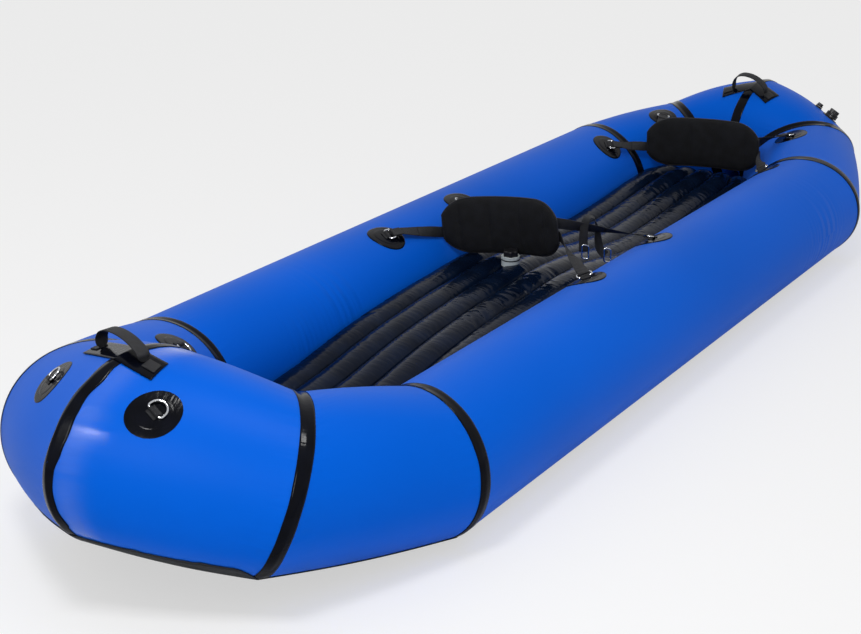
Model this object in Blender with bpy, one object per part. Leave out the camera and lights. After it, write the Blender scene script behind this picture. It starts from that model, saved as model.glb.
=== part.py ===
# Two-person packraft: ten coated-fabric tube panels welded into an inflated ring, seam tapes, a bonded
# floor sheet, a ribbed inflatable floor wedged between the side tubes, two strapped backrests, webbing
# handles, lashing rings and valves. Metres, +Z up, bow towards -Y, origin on the ground under the middle.
import math

import bpy
import bmesh
from mathutils import Vector

for leftover in list(bpy.data.objects):
    bpy.data.objects.remove(leftover, do_unlink=True)

# Fits and fabrics
GAP = 0.0003
FABRIC_WALL = 0.0010
TAPE_WIDTH = 0.027
TAPE_THICKNESS = 0.0006
SHEET_THICKNESS = 0.0010
WEBBING_WIDTH = 0.025
WEBBING_THICKNESS = 0.0016
SEAM_GAP = 0.0008

# Hull seams: where each fabric ring is centred, how big it is, which way the tube runs there in plan and
# how far its plane leans. Rises are from the underside of the side tubes, and a run is the way along the
# boat from the seam before it, starting at the two ends of the side tubes.
SHOULDER_X = 0.313
SHOULDER_Y = -0.871
SHOULDER_HALF_HEIGHT = 0.145
SHOULDER_HALF_BREADTH = 0.148
SHOULDER_TURN_DEG = 80.9
SHOULDER_LEAN_DEG = -2.6
BOW_SEAM_X = 0.210
BOW_SEAM_RUN = 0.304
BOW_SEAM_Y = SHOULDER_Y - BOW_SEAM_RUN
BOW_SEAM_RISE = 0.052
BOW_SEAM_HALF_HEIGHT = 0.160
BOW_SEAM_HALF_BREADTH = 0.171
BOW_SEAM_TURN_DEG = 45.4
BOW_SEAM_LEAN_DEG = -20.2
BOW_TIP_RUN = 0.117
BOW_TIP_Y = BOW_SEAM_Y - BOW_TIP_RUN
BOW_TIP_RISE = 0.108
BOW_TIP_HALF_HEIGHT = 0.166
BOW_TIP_HALF_DEPTH = 0.208
HIP_X = 0.302
HIP_Y = 0.950
HIP_HALF_HEIGHT = 0.142
HIP_HALF_BREADTH = 0.145
HIP_TURN_DEG = 102.7
HIP_LEAN_DEG = 9.6
QUARTER_X = 0.1585
QUARTER_RUN = 0.308
QUARTER_Y = HIP_Y + QUARTER_RUN
QUARTER_RISE = 0.017
QUARTER_HALF_HEIGHT = 0.151
QUARTER_HALF_BREADTH = 0.164
QUARTER_TURN_DEG = 136.2
QUARTER_LEAN_DEG = 24.4
STERN_TIP_RUN = 0.070
STERN_TIP_Y = QUARTER_Y + STERN_TIP_RUN
STERN_TIP_RISE = 0.117
STERN_TIP_HALF_HEIGHT = 0.124
STERN_TIP_HALF_DEPTH = 0.172
AROUND = 32

# How far each panel swells out from the straight line between its seams, and its rows of faces along that line
BOW_PANEL_SWELL = 0.009
BOW_CORNER_SWELL = 0.006
STERN_CORNER_SWELL = 0.007
STERN_PANEL_SWELL = 0.016
BOW_PANEL_STEPS = 2
BOW_CORNER_STEPS = 2
SIDE_TUBE_STEPS = 1
STERN_CORNER_STEPS = 2
STERN_PANEL_STEPS = 4

# Floor sheet
SHEET_WRAP_STEPS = 3
SHEET_CLEARANCE = 5 * GAP + TAPE_THICKNESS
HULL_LIFT = SHEET_THICKNESS + SHEET_CLEARANCE

# Inflatable floor: five lengthwise chambers side by side, wedged highest under the front seat. The heights
# are those of the valleys between the chambers, at these shares of the floor's length.
MAT_CHAMBERS = 5
MAT_THICKNESS = 0.086
MAT_CROWN = 0.004
MAT_RIB_SWELL = 0.016
MAT_BOW_REACH = 0.085
MAT_STERN_REACH = 0.100
MAT_END_ROUND = 0.055
MAT_SIDE_ROUND = 0.006
MAT_STATION_SHARES = (0.0, 0.12, 0.22, 0.314, 0.40, 0.466, 0.542, 0.62, 0.721, 0.82, 0.912, 1.0)
MAT_HEIGHTS = (0.124, 0.143, 0.171, 0.187, 0.1945, 0.199, 0.190, 0.166, 0.148, 0.1535, 0.163, 0.165)
RIB_SHARES = (0.0, 0.12, 0.32, 0.5, 0.68, 0.88)
MAT_END_SHARES = (0.12, 0.45, 0.78)

# Backrests: foam pads in fabric covers, arched round the paddler, each hung a little askew. The turn is in
# plan, and the drop is that of the left end.
BACKREST_HALF_WIDTH = 0.153
BACKREST_HALF_HEIGHT = 0.066
BACKREST_END_SHARE = 0.42
BACKREST_STRAIGHT_SHARE = 0.5
BACKREST_CORNER_POWER = 2.4
BACKREST_THICKNESS = 0.028
BACKREST_RIM = 0.005
BACKREST_CROWN_POWERS = (3.2, 6.0, 0.6)
BACKREST_SAG = 0.036
BACKREST_REST_STEPS = 80
BACKREST_CHANNEL_DEPTH = 0.0045
BACKREST_CHANNEL_HALF_WIDTH = 0.005
BACKREST_SEAM_SHARES = (-0.74, -0.27, 0.27, 0.74)
BACKREST_EDGE_SHARES = (0.90, 0.97, 1.0)
BACKREST_ROW_SHARES = (-1.0, -0.93, -0.7, -0.35, 0.0, 0.35, 0.7, 0.93, 1.0)
FRONT_BACKREST_X = -0.048
FRONT_BACKREST_Y = 0.010
FRONT_BACKREST_TURN_DEG = 1.0
FRONT_BACKREST_DROP_DEG = 7.6
FRONT_BACKREST_STAND_OFF = 0.0008
REAR_BACKREST_X = 0.001
REAR_BACKREST_BEHIND_HIP = 0.020
REAR_BACKREST_Y = HIP_Y + REAR_BACKREST_BEHIND_HIP
REAR_BACKREST_TURN_DEG = 11.0
REAR_BACKREST_DROP_DEG = 1.2
REAR_BACKREST_STAND_OFF = 0.0180

# Round lashing patches with a webbing tab, and the steel rings held in the tabs
PATCH_RADIUS = 0.045
PATCH_THICKNESS = 0.0011
PATCH_LIFT = 0.0009
PATCH_BOSS_RADIUS = 0.029
PATCH_BOSS_RISE = 0.0006
TAB_HALF_WIDTH = 0.0112
TAB_HALF_LENGTH = 0.0095
TAB_WALL = 0.0012
TAB_SINK = 0.0010
TAB_ARCH_STEPS = 6
RING_WIRE = 0.0020
RING_PLAY = 0.0004
RING_HALF_WIDTH = 0.0160
RING_CORNER = 0.0035
D_RING_LEG = 0.0080
STRAP_RING_REACH = 0.0150

# Straps of the backrests
EYE_LENGTH = 0.022
EYE_STEPS = 4
STRAP_LEAST_RISE_DEG = 13.0
STRAP_SPACING = WEBBING_WIDTH / 2 + GAP * 4
STRAP_STAND_OFF = 0.0009
STRAP_TWIST_SHARES = (0.35, 0.7)
STRAP_BACK_SHARES = (0.86, 0.72, 0.58, 0.44, 0.30, 0.15, 0.0, -0.15, -0.30, -0.44, -0.58, -0.72, -0.86)

# Places of the patches along and around the tubes
BOW_PATCH_DEG = 51.5
BOW_RIGHT_PATCH_SHARE = 0.34
BOW_LEFT_PATCH_SHARE = 0.42
BOW_INNER_PATCH_SHARE = 0.50
BOW_INNER_PATCH_DEG = 128.0
FRONT_SEAT_FRONT_SHARE = 0.385
FRONT_SEAT_REAR_SHARE = 0.563
SEAT_PATCH_DEG = 111.0
REAR_SEAT_FRONT_SHARE = 0.955
REAR_SEAT_FRONT_DEG = 124.0
REAR_SEAT_REAR_SHARE = 0.70
REAR_SEAT_REAR_DEG = 109.0

# Carry handles: the sweeps are how far the two arms of a patch bend outboard for each metre along them
HANDLE_PATCH_MARGIN = 0.004
HANDLE_PATCH_HALF_WIDTH = 0.029
HANDLE_PATCH_CLEARANCE = 0.0005
HANDLE_PATCH_LIFT = TAPE_THICKNESS + 2 * GAP + HANDLE_PATCH_CLEARANCE
HANDLE_PATCH_THICKNESS = 0.0012
HANDLE_FOOT_LENGTH = 0.026
HANDLE_THICKNESS = 0.0022
HANDLE_FOOT_GAP = 0.0008
HANDLE_END_SHARES = (-1.0, -0.86, -0.5, 0.0)
HANDLE_END_NARROWEST_SHARE = 0.17
HANDLE_ARCH_SHARES = (-0.97, -0.80, -0.50, -0.15, 0.22, 0.58, 0.88)
HANDLE_RISE_SHARES = (0.30, 0.72, 0.96, 1.0, 0.90, 0.66, 0.30)
BOW_HANDLE_HALF_SPAN = 0.0715
BOW_HANDLE_HEIGHT = 0.047
BOW_HANDLE_OFFSET = -0.028
BOW_HANDLE_DEG = 89.0
BOW_HANDLE_SWEEPS = (0.20, 0.50)
STERN_HANDLE_HALF_SPAN = 0.056
STERN_HANDLE_HEIGHT = 0.035
STERN_HANDLE_OFFSET = 0.0
STERN_HANDLE_DEG = 105.0
STERN_HANDLE_SWEEPS = (0.0, 0.0)

# Valves
VALVE_PATCH_RADIUS = 0.029
VALVE_NECK_RADIUS = 0.0215
VALVE_NECK_HEIGHT = 0.009
VALVE_CAP_HEIGHT = 0.008
VALVE_KNOB_RADIUS = 0.0165
VALVE_KNOB_HEIGHT = 0.013
VALVE_LOBES = 6
VALVE_LOBE_SHARE = 0.10
VALVE_EDGE = 0.0012
MAIN_VALVE_SIZE_SHARE = 0.8
ORAL_VALVE_SIZE_SHARE = 0.45
MAIN_VALVE_SHARE = 0.22
MAIN_VALVE_DEG = 50.0
ORAL_VALVE_SHARE = 0.38
ORAL_VALVE_DEG = 53.0
MAT_VALVE_X = -0.018
MAT_VALVE_Y = -0.0235
VALVE_STEPS = 20

UP = Vector((0, 0, 1))


# Materials and mesh finishing

def finish_of(name, colour, roughness, metallic=0.0):
    material = bpy.data.materials.get(name)
    if material is None:
        material = bpy.data.materials.new(name)
        material.use_nodes = True
        shader = material.node_tree.nodes["Principled BSDF"]
        shader.inputs["Base Color"].default_value = (*colour, 1.0)
        shader.inputs["Roughness"].default_value = roughness
        shader.inputs["Metallic"].default_value = metallic
    return material


HULL_BLUE = ("hull_blue", (0.003, 0.118, 0.680), 0.42)
TAPE_BLACK = ("tape_black", (0.012, 0.014, 0.020), 0.30)
FLOOR_BLACK = ("floor_black", (0.020, 0.024, 0.032), 0.28)
FOAM_COVER = ("foam_cover", (0.004, 0.004, 0.006), 0.90)
WEBBING = ("webbing", (0.008, 0.008, 0.010), 0.75)
STEEL = ("steel", (0.62, 0.63, 0.65), 0.22, 1.0)
VALVE_BLACK = ("valve_black", (0.010, 0.010, 0.012), 0.35)
VALVE_GREY = ("valve_grey", (0.55, 0.60, 0.58), 0.40)


def add_piece(name, bm, finish, origin=None):
    """Close the mesh, point its faces outwards and place its origin on the joint axis if it has one."""
    origin = Vector(origin) if origin is not None else Vector()
    bmesh.ops.recalc_face_normals(bm, faces=bm.faces)
    bmesh.ops.translate(bm, verts=bm.verts, vec=-origin)
    mesh = bpy.data.meshes.new(name)
    bm.to_mesh(mesh)
    bm.free()
    mesh.shade_smooth()
    mesh.set_sharp_from_angle(angle=math.radians(35))
    mesh.materials.append(finish_of(*finish))
    piece = bpy.data.objects.new(name, mesh)
    piece.location = origin
    bpy.context.scene.collection.objects.link(piece)
    return piece


def skin(loops, closed_loops=True, closed_ends=False, first_pole=None, last_pole=None, core=None):
    """Join successive loops of points with quads, and cap or close the ends.

    Where a core point is given, each twisted quad is folded towards it.
    """
    bm = bmesh.new()
    rows = [[bm.verts.new(point) for point in loop] for loop in loops]
    count = len(rows[0])
    spans = count if closed_loops else count - 1
    pairs = list(zip(rows, rows[1:]))
    if closed_ends:
        pairs.append((rows[-1], rows[0]))
    for near, far in pairs:
        for k in range(spans):
            n = (k + 1) % count
            if core is None:
                bm.faces.new((near[k], near[n], far[n], far[k]))
                continue
            fold = near[k].co + far[n].co - near[n].co - far[k].co
            facing = (far[n].co - near[k].co).cross(far[k].co - near[n].co)
            middle = (near[k].co + far[n].co + near[n].co + far[k].co) / 4
            if fold.dot(facing) * facing.dot(core - middle) > 0:
                bm.faces.new((near[k], near[n], far[n]))
                bm.faces.new((near[k], far[n], far[k]))
            else:
                bm.faces.new((near[k], near[n], far[k]))
                bm.faces.new((near[n], far[n], far[k]))
    if first_pole is not None:
        tip = bm.verts.new(first_pole)
        for k in range(spans):
            bm.faces.new((rows[0][(k + 1) % count], rows[0][k], tip))
    if last_pole is not None:
        tip = bm.verts.new(last_pole)
        for k in range(spans):
            bm.faces.new((rows[-1][k], rows[-1][(k + 1) % count], tip))
    if first_pole is None and last_pole is None and not closed_ends and closed_loops:
        bm.faces.new(rows[0])
        bm.faces.new(rows[-1])
    return bm


# Hull geometry: seams are ellipses, and a panel is the straight loft between two of them

class Seam:
    """One welded ring: its plane, its two half sizes and its centre."""

    def __init__(self, x, y, rise, half_breadth, half_height, turn_deg, lean_deg):
        turn = math.radians(turn_deg)
        lean = math.radians(lean_deg)
        run = Vector((math.cos(turn) * math.cos(lean), math.sin(turn) * math.cos(lean), math.sin(lean)))
        self.out = run.cross(UP).normalized()
        self.up = self.out.cross(run)
        lowest = half_height * self.up.z
        self.centre = Vector((x, y, HULL_LIFT + rise + lowest))
        self.half_breadth = half_breadth
        self.half_height = half_height

    def point(self, angle, inset=0.0):
        across = self.out * (self.half_breadth - inset) * math.cos(angle)
        return self.centre + across + self.up * (self.half_height - inset) * math.sin(angle)

    def turning(self, angle):
        return self.up * self.half_height * math.cos(angle) - self.out * self.half_breadth * math.sin(angle)


BOW_TIP = Seam(0, BOW_TIP_Y, BOW_TIP_RISE, BOW_TIP_HALF_DEPTH, BOW_TIP_HALF_HEIGHT, 0, 0)
BOW_SEAM = Seam(BOW_SEAM_X, BOW_SEAM_Y, BOW_SEAM_RISE, BOW_SEAM_HALF_BREADTH, BOW_SEAM_HALF_HEIGHT,
                BOW_SEAM_TURN_DEG, BOW_SEAM_LEAN_DEG)
SHOULDER = Seam(SHOULDER_X, SHOULDER_Y, 0, SHOULDER_HALF_BREADTH, SHOULDER_HALF_HEIGHT,
                SHOULDER_TURN_DEG, SHOULDER_LEAN_DEG)
HIP = Seam(HIP_X, HIP_Y, 0, HIP_HALF_BREADTH, HIP_HALF_HEIGHT, HIP_TURN_DEG, HIP_LEAN_DEG)
QUARTER = Seam(QUARTER_X, QUARTER_Y, QUARTER_RISE, QUARTER_HALF_BREADTH, QUARTER_HALF_HEIGHT,
               QUARTER_TURN_DEG, QUARTER_LEAN_DEG)
STERN_TIP = Seam(0, STERN_TIP_Y, STERN_TIP_RISE, STERN_TIP_HALF_DEPTH, STERN_TIP_HALF_HEIGHT, 180, 0)

# Panel name: its two seams and its swell between them
PANELS = {
    "bow_panel": (BOW_TIP, BOW_SEAM, BOW_PANEL_SWELL),
    "bow_corner": (BOW_SEAM, SHOULDER, BOW_CORNER_SWELL),
    "side_tube": (SHOULDER, HIP, 0.0),
    "stern_corner": (HIP, QUARTER, STERN_CORNER_SWELL),
    "stern_panel": (QUARTER, STERN_TIP, STERN_PANEL_SWELL),
}
PANEL_STEPS = {
    "bow_panel": BOW_PANEL_STEPS,
    "bow_corner": BOW_CORNER_STEPS,
    "side_tube": SIDE_TUBE_STEPS,
    "stern_corner": STERN_CORNER_STEPS,
    "stern_panel": STERN_PANEL_STEPS,
}
SIDES = {"right": 1, "left": -1}
ANGLES = [math.tau * k / AROUND for k in range(AROUND)]


def mirrored(vector, side):
    return Vector((vector.x * side, vector.y, vector.z))


def swell_at(panel, share, run):
    """How far a panel swells at a share of its run, straight from row to row.

    The shorter inner side of a panel swells less than its outer side.
    """
    near, far, swell = PANELS[panel]
    outer_run = far.point(0) - near.point(0)
    steps = PANEL_STEPS[panel]
    row = min(math.floor(share * steps), steps - 1)
    before = math.sin(math.pi * row / steps)
    after = math.sin(math.pi * (row + 1) / steps)
    return swell * run.length / outer_run.length * (before + (after - before) * (share * steps - row))


def hull_frame(panel, share, angle, side=1, inset=0.0):
    """Point on a panel with its outward normal and its run and turn directions."""
    near, far, _ = PANELS[panel]
    run = far.point(angle, inset) - near.point(angle, inset)
    turn = near.turning(angle).lerp(far.turning(angle), share)
    normal = run.cross(turn).normalized()
    point = near.point(angle, inset).lerp(far.point(angle, inset), share)
    point += normal * swell_at(panel, share, run)
    return mirrored(point, side), mirrored(normal, side), mirrored(run, side), mirrored(turn, side)


def crest(near, far, angle, lift):
    """A point held off a seam, halfway between the normals of the panels (name, side, share) beside it."""
    near_panel, near_side, near_share = near
    far_panel, far_side, far_share = far
    point, near_normal, _, _ = hull_frame(near_panel, near_share, angle, near_side)
    far_normal = hull_frame(far_panel, far_share, angle, far_side)[1]
    middle = (near_normal + far_normal).normalized()
    return point + middle * lift / middle.dot(near_normal)


def lifted(panel, share, angle, lift, side=1):
    """A point held off a panel; on a seam it stays on the ridge between the two panels."""
    order = list(PANELS)
    before = order[order.index(panel) - 1]
    after = order[(order.index(panel) + 1) % len(order)]
    if share == 0:
        near = (panel, -side, 0) if panel == order[0] else (before, side, 1)
        return crest(near, (panel, side, 0), angle, lift)
    if share == 1:
        far = (panel, -side, 1) if panel == order[-1] else (after, side, 0)
        return crest((panel, side, 1), far, angle, lift)
    point, normal, _, _ = hull_frame(panel, share, angle, side)
    return point + normal * lift


class Place:
    """A spot on the hull that pieces are laid out from, in metres along and around the tube."""

    def __init__(self, panel, share, angle_deg, side=1):
        self.panel = panel
        self.share = share
        self.angle = math.radians(angle_deg)
        self.side = side
        self.point, self.normal, run, turn = hull_frame(panel, share, self.angle, side)
        self.run_length = run.length
        self.turn_rate = turn.length
        self.run = run.normalized()
        self.turn = turn.normalized()

    def at(self, along, around, lift):
        share = round(self.share + along / self.run_length, 6)
        angle = self.angle + around / self.turn_rate
        side = self.side
        if share < 0 and self.panel == "bow_panel":
            share = -share
            side = -side
        if share > 1 and self.panel == "stern_panel":
            share = 2 - share
            side = -side
        return lifted(self.panel, share, angle, lift, side)


def build_panel(panel, side_name):
    """One open-ended fabric tube, its ends a hair short of the two seams."""
    near, far, _ = PANELS[panel]
    spans = PANEL_STEPS[panel]
    side = SIDES[side_name]
    end_share = SEAM_GAP / 2 / (far.centre - near.centre).length
    shares = [end_share + (1 - 2 * end_share) * k / spans for k in range(spans + 1)]
    outer = [[hull_frame(panel, s, a, side)[0] for a in ANGLES] for s in shares]
    inner = [[hull_frame(panel, s, a, side, FABRIC_WALL)[0] for a in ANGLES] for s in reversed(shares)]
    core = mirrored(near.centre.lerp(far.centre, 0.5), side)
    add_piece(f"{panel}_{side_name}", skin(outer + inner, closed_ends=True, core=core), HULL_BLUE)


def build_seam_tape(name, near, far):
    """A strip welded over a seam, half its width on the panel to each side of it."""
    def station(spot, lift):
        panel, side, at = spot
        loop = []
        for angle in ANGLES:
            _, _, run, turn = hull_frame(panel, at, angle)
            away = run - run.project(turn)
            share = TAPE_WIDTH / 2 / away.length
            loop.append(lifted(panel, abs(at - share), angle, lift, side))
        return loop

    top = GAP + TAPE_THICKNESS
    loops = [station(near, GAP), [crest(near, far, angle, GAP) for angle in ANGLES], station(far, GAP),
             station(far, top), [crest(near, far, angle, top) for angle in ANGLES], station(near, top)]
    add_piece(name, skin(loops, closed_ends=True), TAPE_BLACK)


def build_hull():
    for side_name in SIDES:
        for panel in PANELS:
            build_panel(panel, side_name)
    build_seam_tape("bow_centre_tape", ("bow_panel", -1, 0), ("bow_panel", 1, 0))
    build_seam_tape("stern_centre_tape", ("stern_panel", 1, 1), ("stern_panel", -1, 1))
    order = list(PANELS)
    tapes = ("bow_seam_tape", "shoulder_tape", "hip_tape", "quarter_tape")
    for side_name, side in SIDES.items():
        for tape, near_panel, far_panel in zip(tapes, order, order[1:]):
            build_seam_tape(f"{tape}_{side_name}", (near_panel, side, 1), (far_panel, side, 0))


# Floor sheet, bonded under the tubes from one outer flank to the other

SHEET_STATIONS = (("bow_panel", 0.0), ("bow_panel", 0.5), ("bow_corner", 0.0), ("bow_corner", 0.5),
                  ("side_tube", 0.0), ("side_tube", 0.25), ("side_tube", 0.75), ("stern_corner", 0.0),
                  ("stern_corner", 0.5), ("stern_panel", 0.0), ("stern_panel", 0.25), ("stern_panel", 0.5),
                  ("stern_panel", 0.75), ("stern_panel", 1.0))
SHEET_INNER_SHARES = (1 / 3, 2 / 3)


def build_floor_sheet():
    bottom = AROUND * 3 // 4
    flank = [ANGLES[bottom + step] for step in range(SHEET_WRAP_STEPS, -1, -1)]
    rows = []
    for panel, share in SHEET_STATIONS:
        right = [lifted(panel, share, angle, SHEET_CLEARANCE) for angle in flank]
        left = [mirrored(point, -1) for point in reversed(right)]
        inner = [right[-1].lerp(left[0], share_across) for share_across in SHEET_INNER_SHARES]
        rows.append(right + inner + left)
    bm = skin(rows, closed_loops=False, core=SHOULDER.centre.lerp(mirrored(HIP.centre, -1), 0.5) - UP)
    bmesh.ops.remove_doubles(bm, verts=bm.verts, dist=GAP / 10)
    bmesh.ops.recalc_face_normals(bm, faces=bm.faces)
    downwards = sum(face.normal.z * face.calc_area() for face in bm.faces) < 0
    if not downwards:
        bmesh.ops.reverse_faces(bm, faces=bm.faces)
    mesh_piece = bpy.data.meshes.new("floor_sheet")
    bm.to_mesh(mesh_piece)
    bm.free()
    mesh_piece.materials.append(finish_of(*FLOOR_BLACK))
    piece = bpy.data.objects.new("floor_sheet", mesh_piece)
    bpy.context.scene.collection.objects.link(piece)
    wall = piece.modifiers.new("wall", "SOLIDIFY")
    wall.thickness = SHEET_THICKNESS
    wall.offset = 1.0
    wall.use_even_offset = True


# Inflatable floor

def inner_flank(seam):
    return seam.point(math.pi)


def gap_half_width(y):
    """Half the clear width between the tubes at their innermost line, with the tapes allowed for."""
    for panel in ("bow_corner", "side_tube", "stern_corner"):
        near, far, _ = PANELS[panel]
        start = inner_flank(near)
        stop = inner_flank(far)
        if y <= stop.y or panel == "stern_corner":
            share = (y - start.y) / (stop.y - start.y)
            swollen = swell_at(panel, share, stop - start)
            return start.lerp(stop, share).x - swollen - TAPE_THICKNESS - 2 * GAP


MAT_BOW_Y = inner_flank(SHOULDER).y - MAT_BOW_REACH
MAT_STERN_Y = inner_flank(HIP).y + MAT_STERN_REACH
MAT_START = MAT_BOW_Y + MAT_END_ROUND
MAT_FINISH = MAT_STERN_Y - MAT_END_ROUND
MAT_STATIONS = [MAT_START + (MAT_FINISH - MAT_START) * share for share in MAT_STATION_SHARES]


def mat_edge_height(y):
    """Height of the valleys between the chambers."""
    pairs = list(zip(MAT_STATIONS, MAT_HEIGHTS))
    for (near, low), (far, high) in zip(pairs, pairs[1:]):
        if y <= far:
            return low + (high - low) * max(0.0, y - near) / (far - near)
    return MAT_HEIGHTS[-1]


def mat_top(x, y):
    """Height of the upper skin: the arch across, plus the swell of the chamber."""
    half = gap_half_width(y)
    across = max(-1.0, min(1.0, x / half))
    chamber = (across + 1) / 2 * MAT_CHAMBERS
    local = 2 * (chamber - math.floor(min(chamber, MAT_CHAMBERS - GAP))) - 1
    swell = MAT_RIB_SWELL * math.sqrt(max(0.0, 1 - local ** 2))
    return mat_edge_height(y) + MAT_CROWN * (1 - across ** 2) + swell


def mat_section(y, fullness):
    """One cross-section of the floor, shrunk towards its own middle by the fullness at the ends."""
    half = gap_half_width(y)
    across = [(c + s) / MAT_CHAMBERS * 2 - 1 for c in range(MAT_CHAMBERS) for s in RIB_SHARES] + [1.0]
    rounded = 1 - MAT_SIDE_ROUND / half
    upper = []
    lower = []
    for share in across:
        x = half * share
        top = mat_top(x, y)
        drop = MAT_SIDE_ROUND * max(0.0, (abs(share) - rounded) / (1 - rounded)) ** 2
        middle = mat_edge_height(y) + MAT_CROWN * (1 - share ** 2) - MAT_THICKNESS / 2
        upper.append(Vector((x, y, top - drop)))
        lower.append(Vector((x, y, 2 * middle - top + drop)))
    lower = lower[::3]
    outline = upper + list(reversed(lower))
    centre = Vector((0, y, sum(p.z for p in outline) / len(outline)))
    loop = []
    for p in outline:
        shrunk_z = centre.z + (p.z - centre.z) * fullness
        loop.append(Vector((p.x * (1 - MAT_END_ROUND / half * (1 - fullness)), y, shrunk_z)))
    return loop


def build_floor_mat():
    angles = [math.pi / 2 * share for share in MAT_END_SHARES]
    ends = [(MAT_END_ROUND * math.cos(angle), math.sin(angle)) for angle in angles]
    sections = [mat_section(MAT_START - reach, fullness) for reach, fullness in ends]
    sections += [mat_section(y, 1.0) for y in MAT_STATIONS]
    sections += [mat_section(MAT_FINISH + reach, fullness) for reach, fullness in reversed(ends)]
    add_piece("floor_mat", skin(sections), FLOOR_BLACK)


# Turned and gripped valve pieces on a local axis

class Seat:
    """The base point, axis and two cross directions of a valve."""

    def __init__(self, point, axis, across):
        self.point = point
        self.axis = axis
        self.across = (across - axis * across.dot(axis)).normalized()
        self.other = axis.cross(self.across)

    def ring(self, radius, height, lobes=0):
        loop = []
        for k in range(VALVE_STEPS):
            angle = math.tau * k / VALVE_STEPS
            grip = 1 + (VALVE_LOBE_SHARE * math.cos(lobes * angle) if lobes else 0)
            reach = self.across * math.cos(angle) + self.other * math.sin(angle)
            loop.append(self.point + self.axis * height + reach * radius * grip)
        return loop


def flange_on_hull(place, radius, lift):
    loop = []
    for k in range(VALVE_STEPS):
        angle = math.tau * k / VALVE_STEPS
        loop.append(place.at(radius * math.cos(angle), radius * math.sin(angle) * place.side, lift))
    return loop


def build_valve(prefix, seat, place, size, base_finish):
    """A base with its neck, and the cap with a lobed knob that turns on it."""
    patch = PATCH_THICKNESS
    neck_radius = VALVE_NECK_RADIUS * size
    neck_top = VALVE_NECK_HEIGHT * size + patch
    loops = []
    low_pole = seat.point + seat.axis * PATCH_LIFT * 2
    base = 0.0
    if place is not None:
        flange = VALVE_PATCH_RADIUS * size
        loops = [flange_on_hull(place, flange, PATCH_LIFT), flange_on_hull(place, flange, PATCH_LIFT + patch)]
        low_pole = seat.point + seat.axis * PATCH_LIFT
        base = patch
    loops += [seat.ring(neck_radius, base + PATCH_LIFT * 2), seat.ring(neck_radius, neck_top - VALVE_EDGE),
              seat.ring(neck_radius - VALVE_EDGE, neck_top)]
    body = skin(loops, first_pole=low_pole, last_pole=seat.point + seat.axis * neck_top)
    add_piece(f"{prefix}_valve_body", body, base_finish)
    low = neck_top + GAP
    rim = low + VALVE_CAP_HEIGHT * size
    top = rim + VALVE_KNOB_HEIGHT * size
    knob = VALVE_KNOB_RADIUS * size
    loops = [seat.ring(neck_radius - VALVE_EDGE, low), seat.ring(neck_radius, low + VALVE_EDGE),
             seat.ring(neck_radius, rim - VALVE_EDGE), seat.ring(neck_radius - VALVE_EDGE, rim),
             seat.ring(knob, rim, lobes=VALVE_LOBES), seat.ring(knob, top - VALVE_EDGE, lobes=VALVE_LOBES),
             seat.ring(knob - VALVE_EDGE, top, lobes=VALVE_LOBES)]
    cap = skin(loops, first_pole=seat.point + seat.axis * low, last_pole=seat.point + seat.axis * top)
    add_piece(f"{prefix}_valve_cap", cap, VALVE_BLACK, origin=seat.point + seat.axis * low)


HULL_VALVES = {
    "main": (Place("stern_panel", MAIN_VALVE_SHARE, MAIN_VALVE_DEG), MAIN_VALVE_SIZE_SHARE),
    "oral": (Place("stern_panel", ORAL_VALVE_SHARE, ORAL_VALVE_DEG), ORAL_VALVE_SIZE_SHARE),
}


def build_valves():
    for prefix, (place, size) in HULL_VALVES.items():
        build_valve(prefix, Seat(place.point, place.normal, place.run), place, size, VALVE_BLACK)
    seat = Seat(Vector((MAT_VALVE_X, MAT_VALVE_Y, 0)), UP, Vector((1, 0, 0)))
    highest = max(mat_top(point.x, point.y) for point in seat.ring(VALVE_NECK_RADIUS, 0))
    seat.point.z = max(highest, mat_top(0, MAT_VALVE_Y)) + GAP - PATCH_LIFT * 2
    build_valve("mat", seat, None, 1.0, VALVE_GREY)


# Lashing patches and rings

def disc_on_hull(place, steps=16):
    """A round patch that follows the tube, with a low boss in its middle."""
    top = PATCH_LIFT + PATCH_THICKNESS
    profile = [(PATCH_RADIUS / 2, PATCH_LIFT), (PATCH_RADIUS, PATCH_LIFT), (PATCH_RADIUS, top),
               (PATCH_BOSS_RADIUS + PATCH_BOSS_RISE, top), (PATCH_BOSS_RADIUS, top + PATCH_BOSS_RISE)]
    angles = [math.tau * k / steps for k in range(steps)]
    loops = [[place.at(radius * math.cos(angle), radius * math.sin(angle), lift) for angle in angles]
             for radius, lift in profile]
    return skin(loops, first_pole=place.at(0, 0, PATCH_LIFT), last_pole=place.at(0, 0, top + PATCH_BOSS_RISE))


def bar_height():
    return PATCH_LIFT + PATCH_THICKNESS + PATCH_BOSS_RISE + RING_WIRE + RING_PLAY + TAB_WALL


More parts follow.
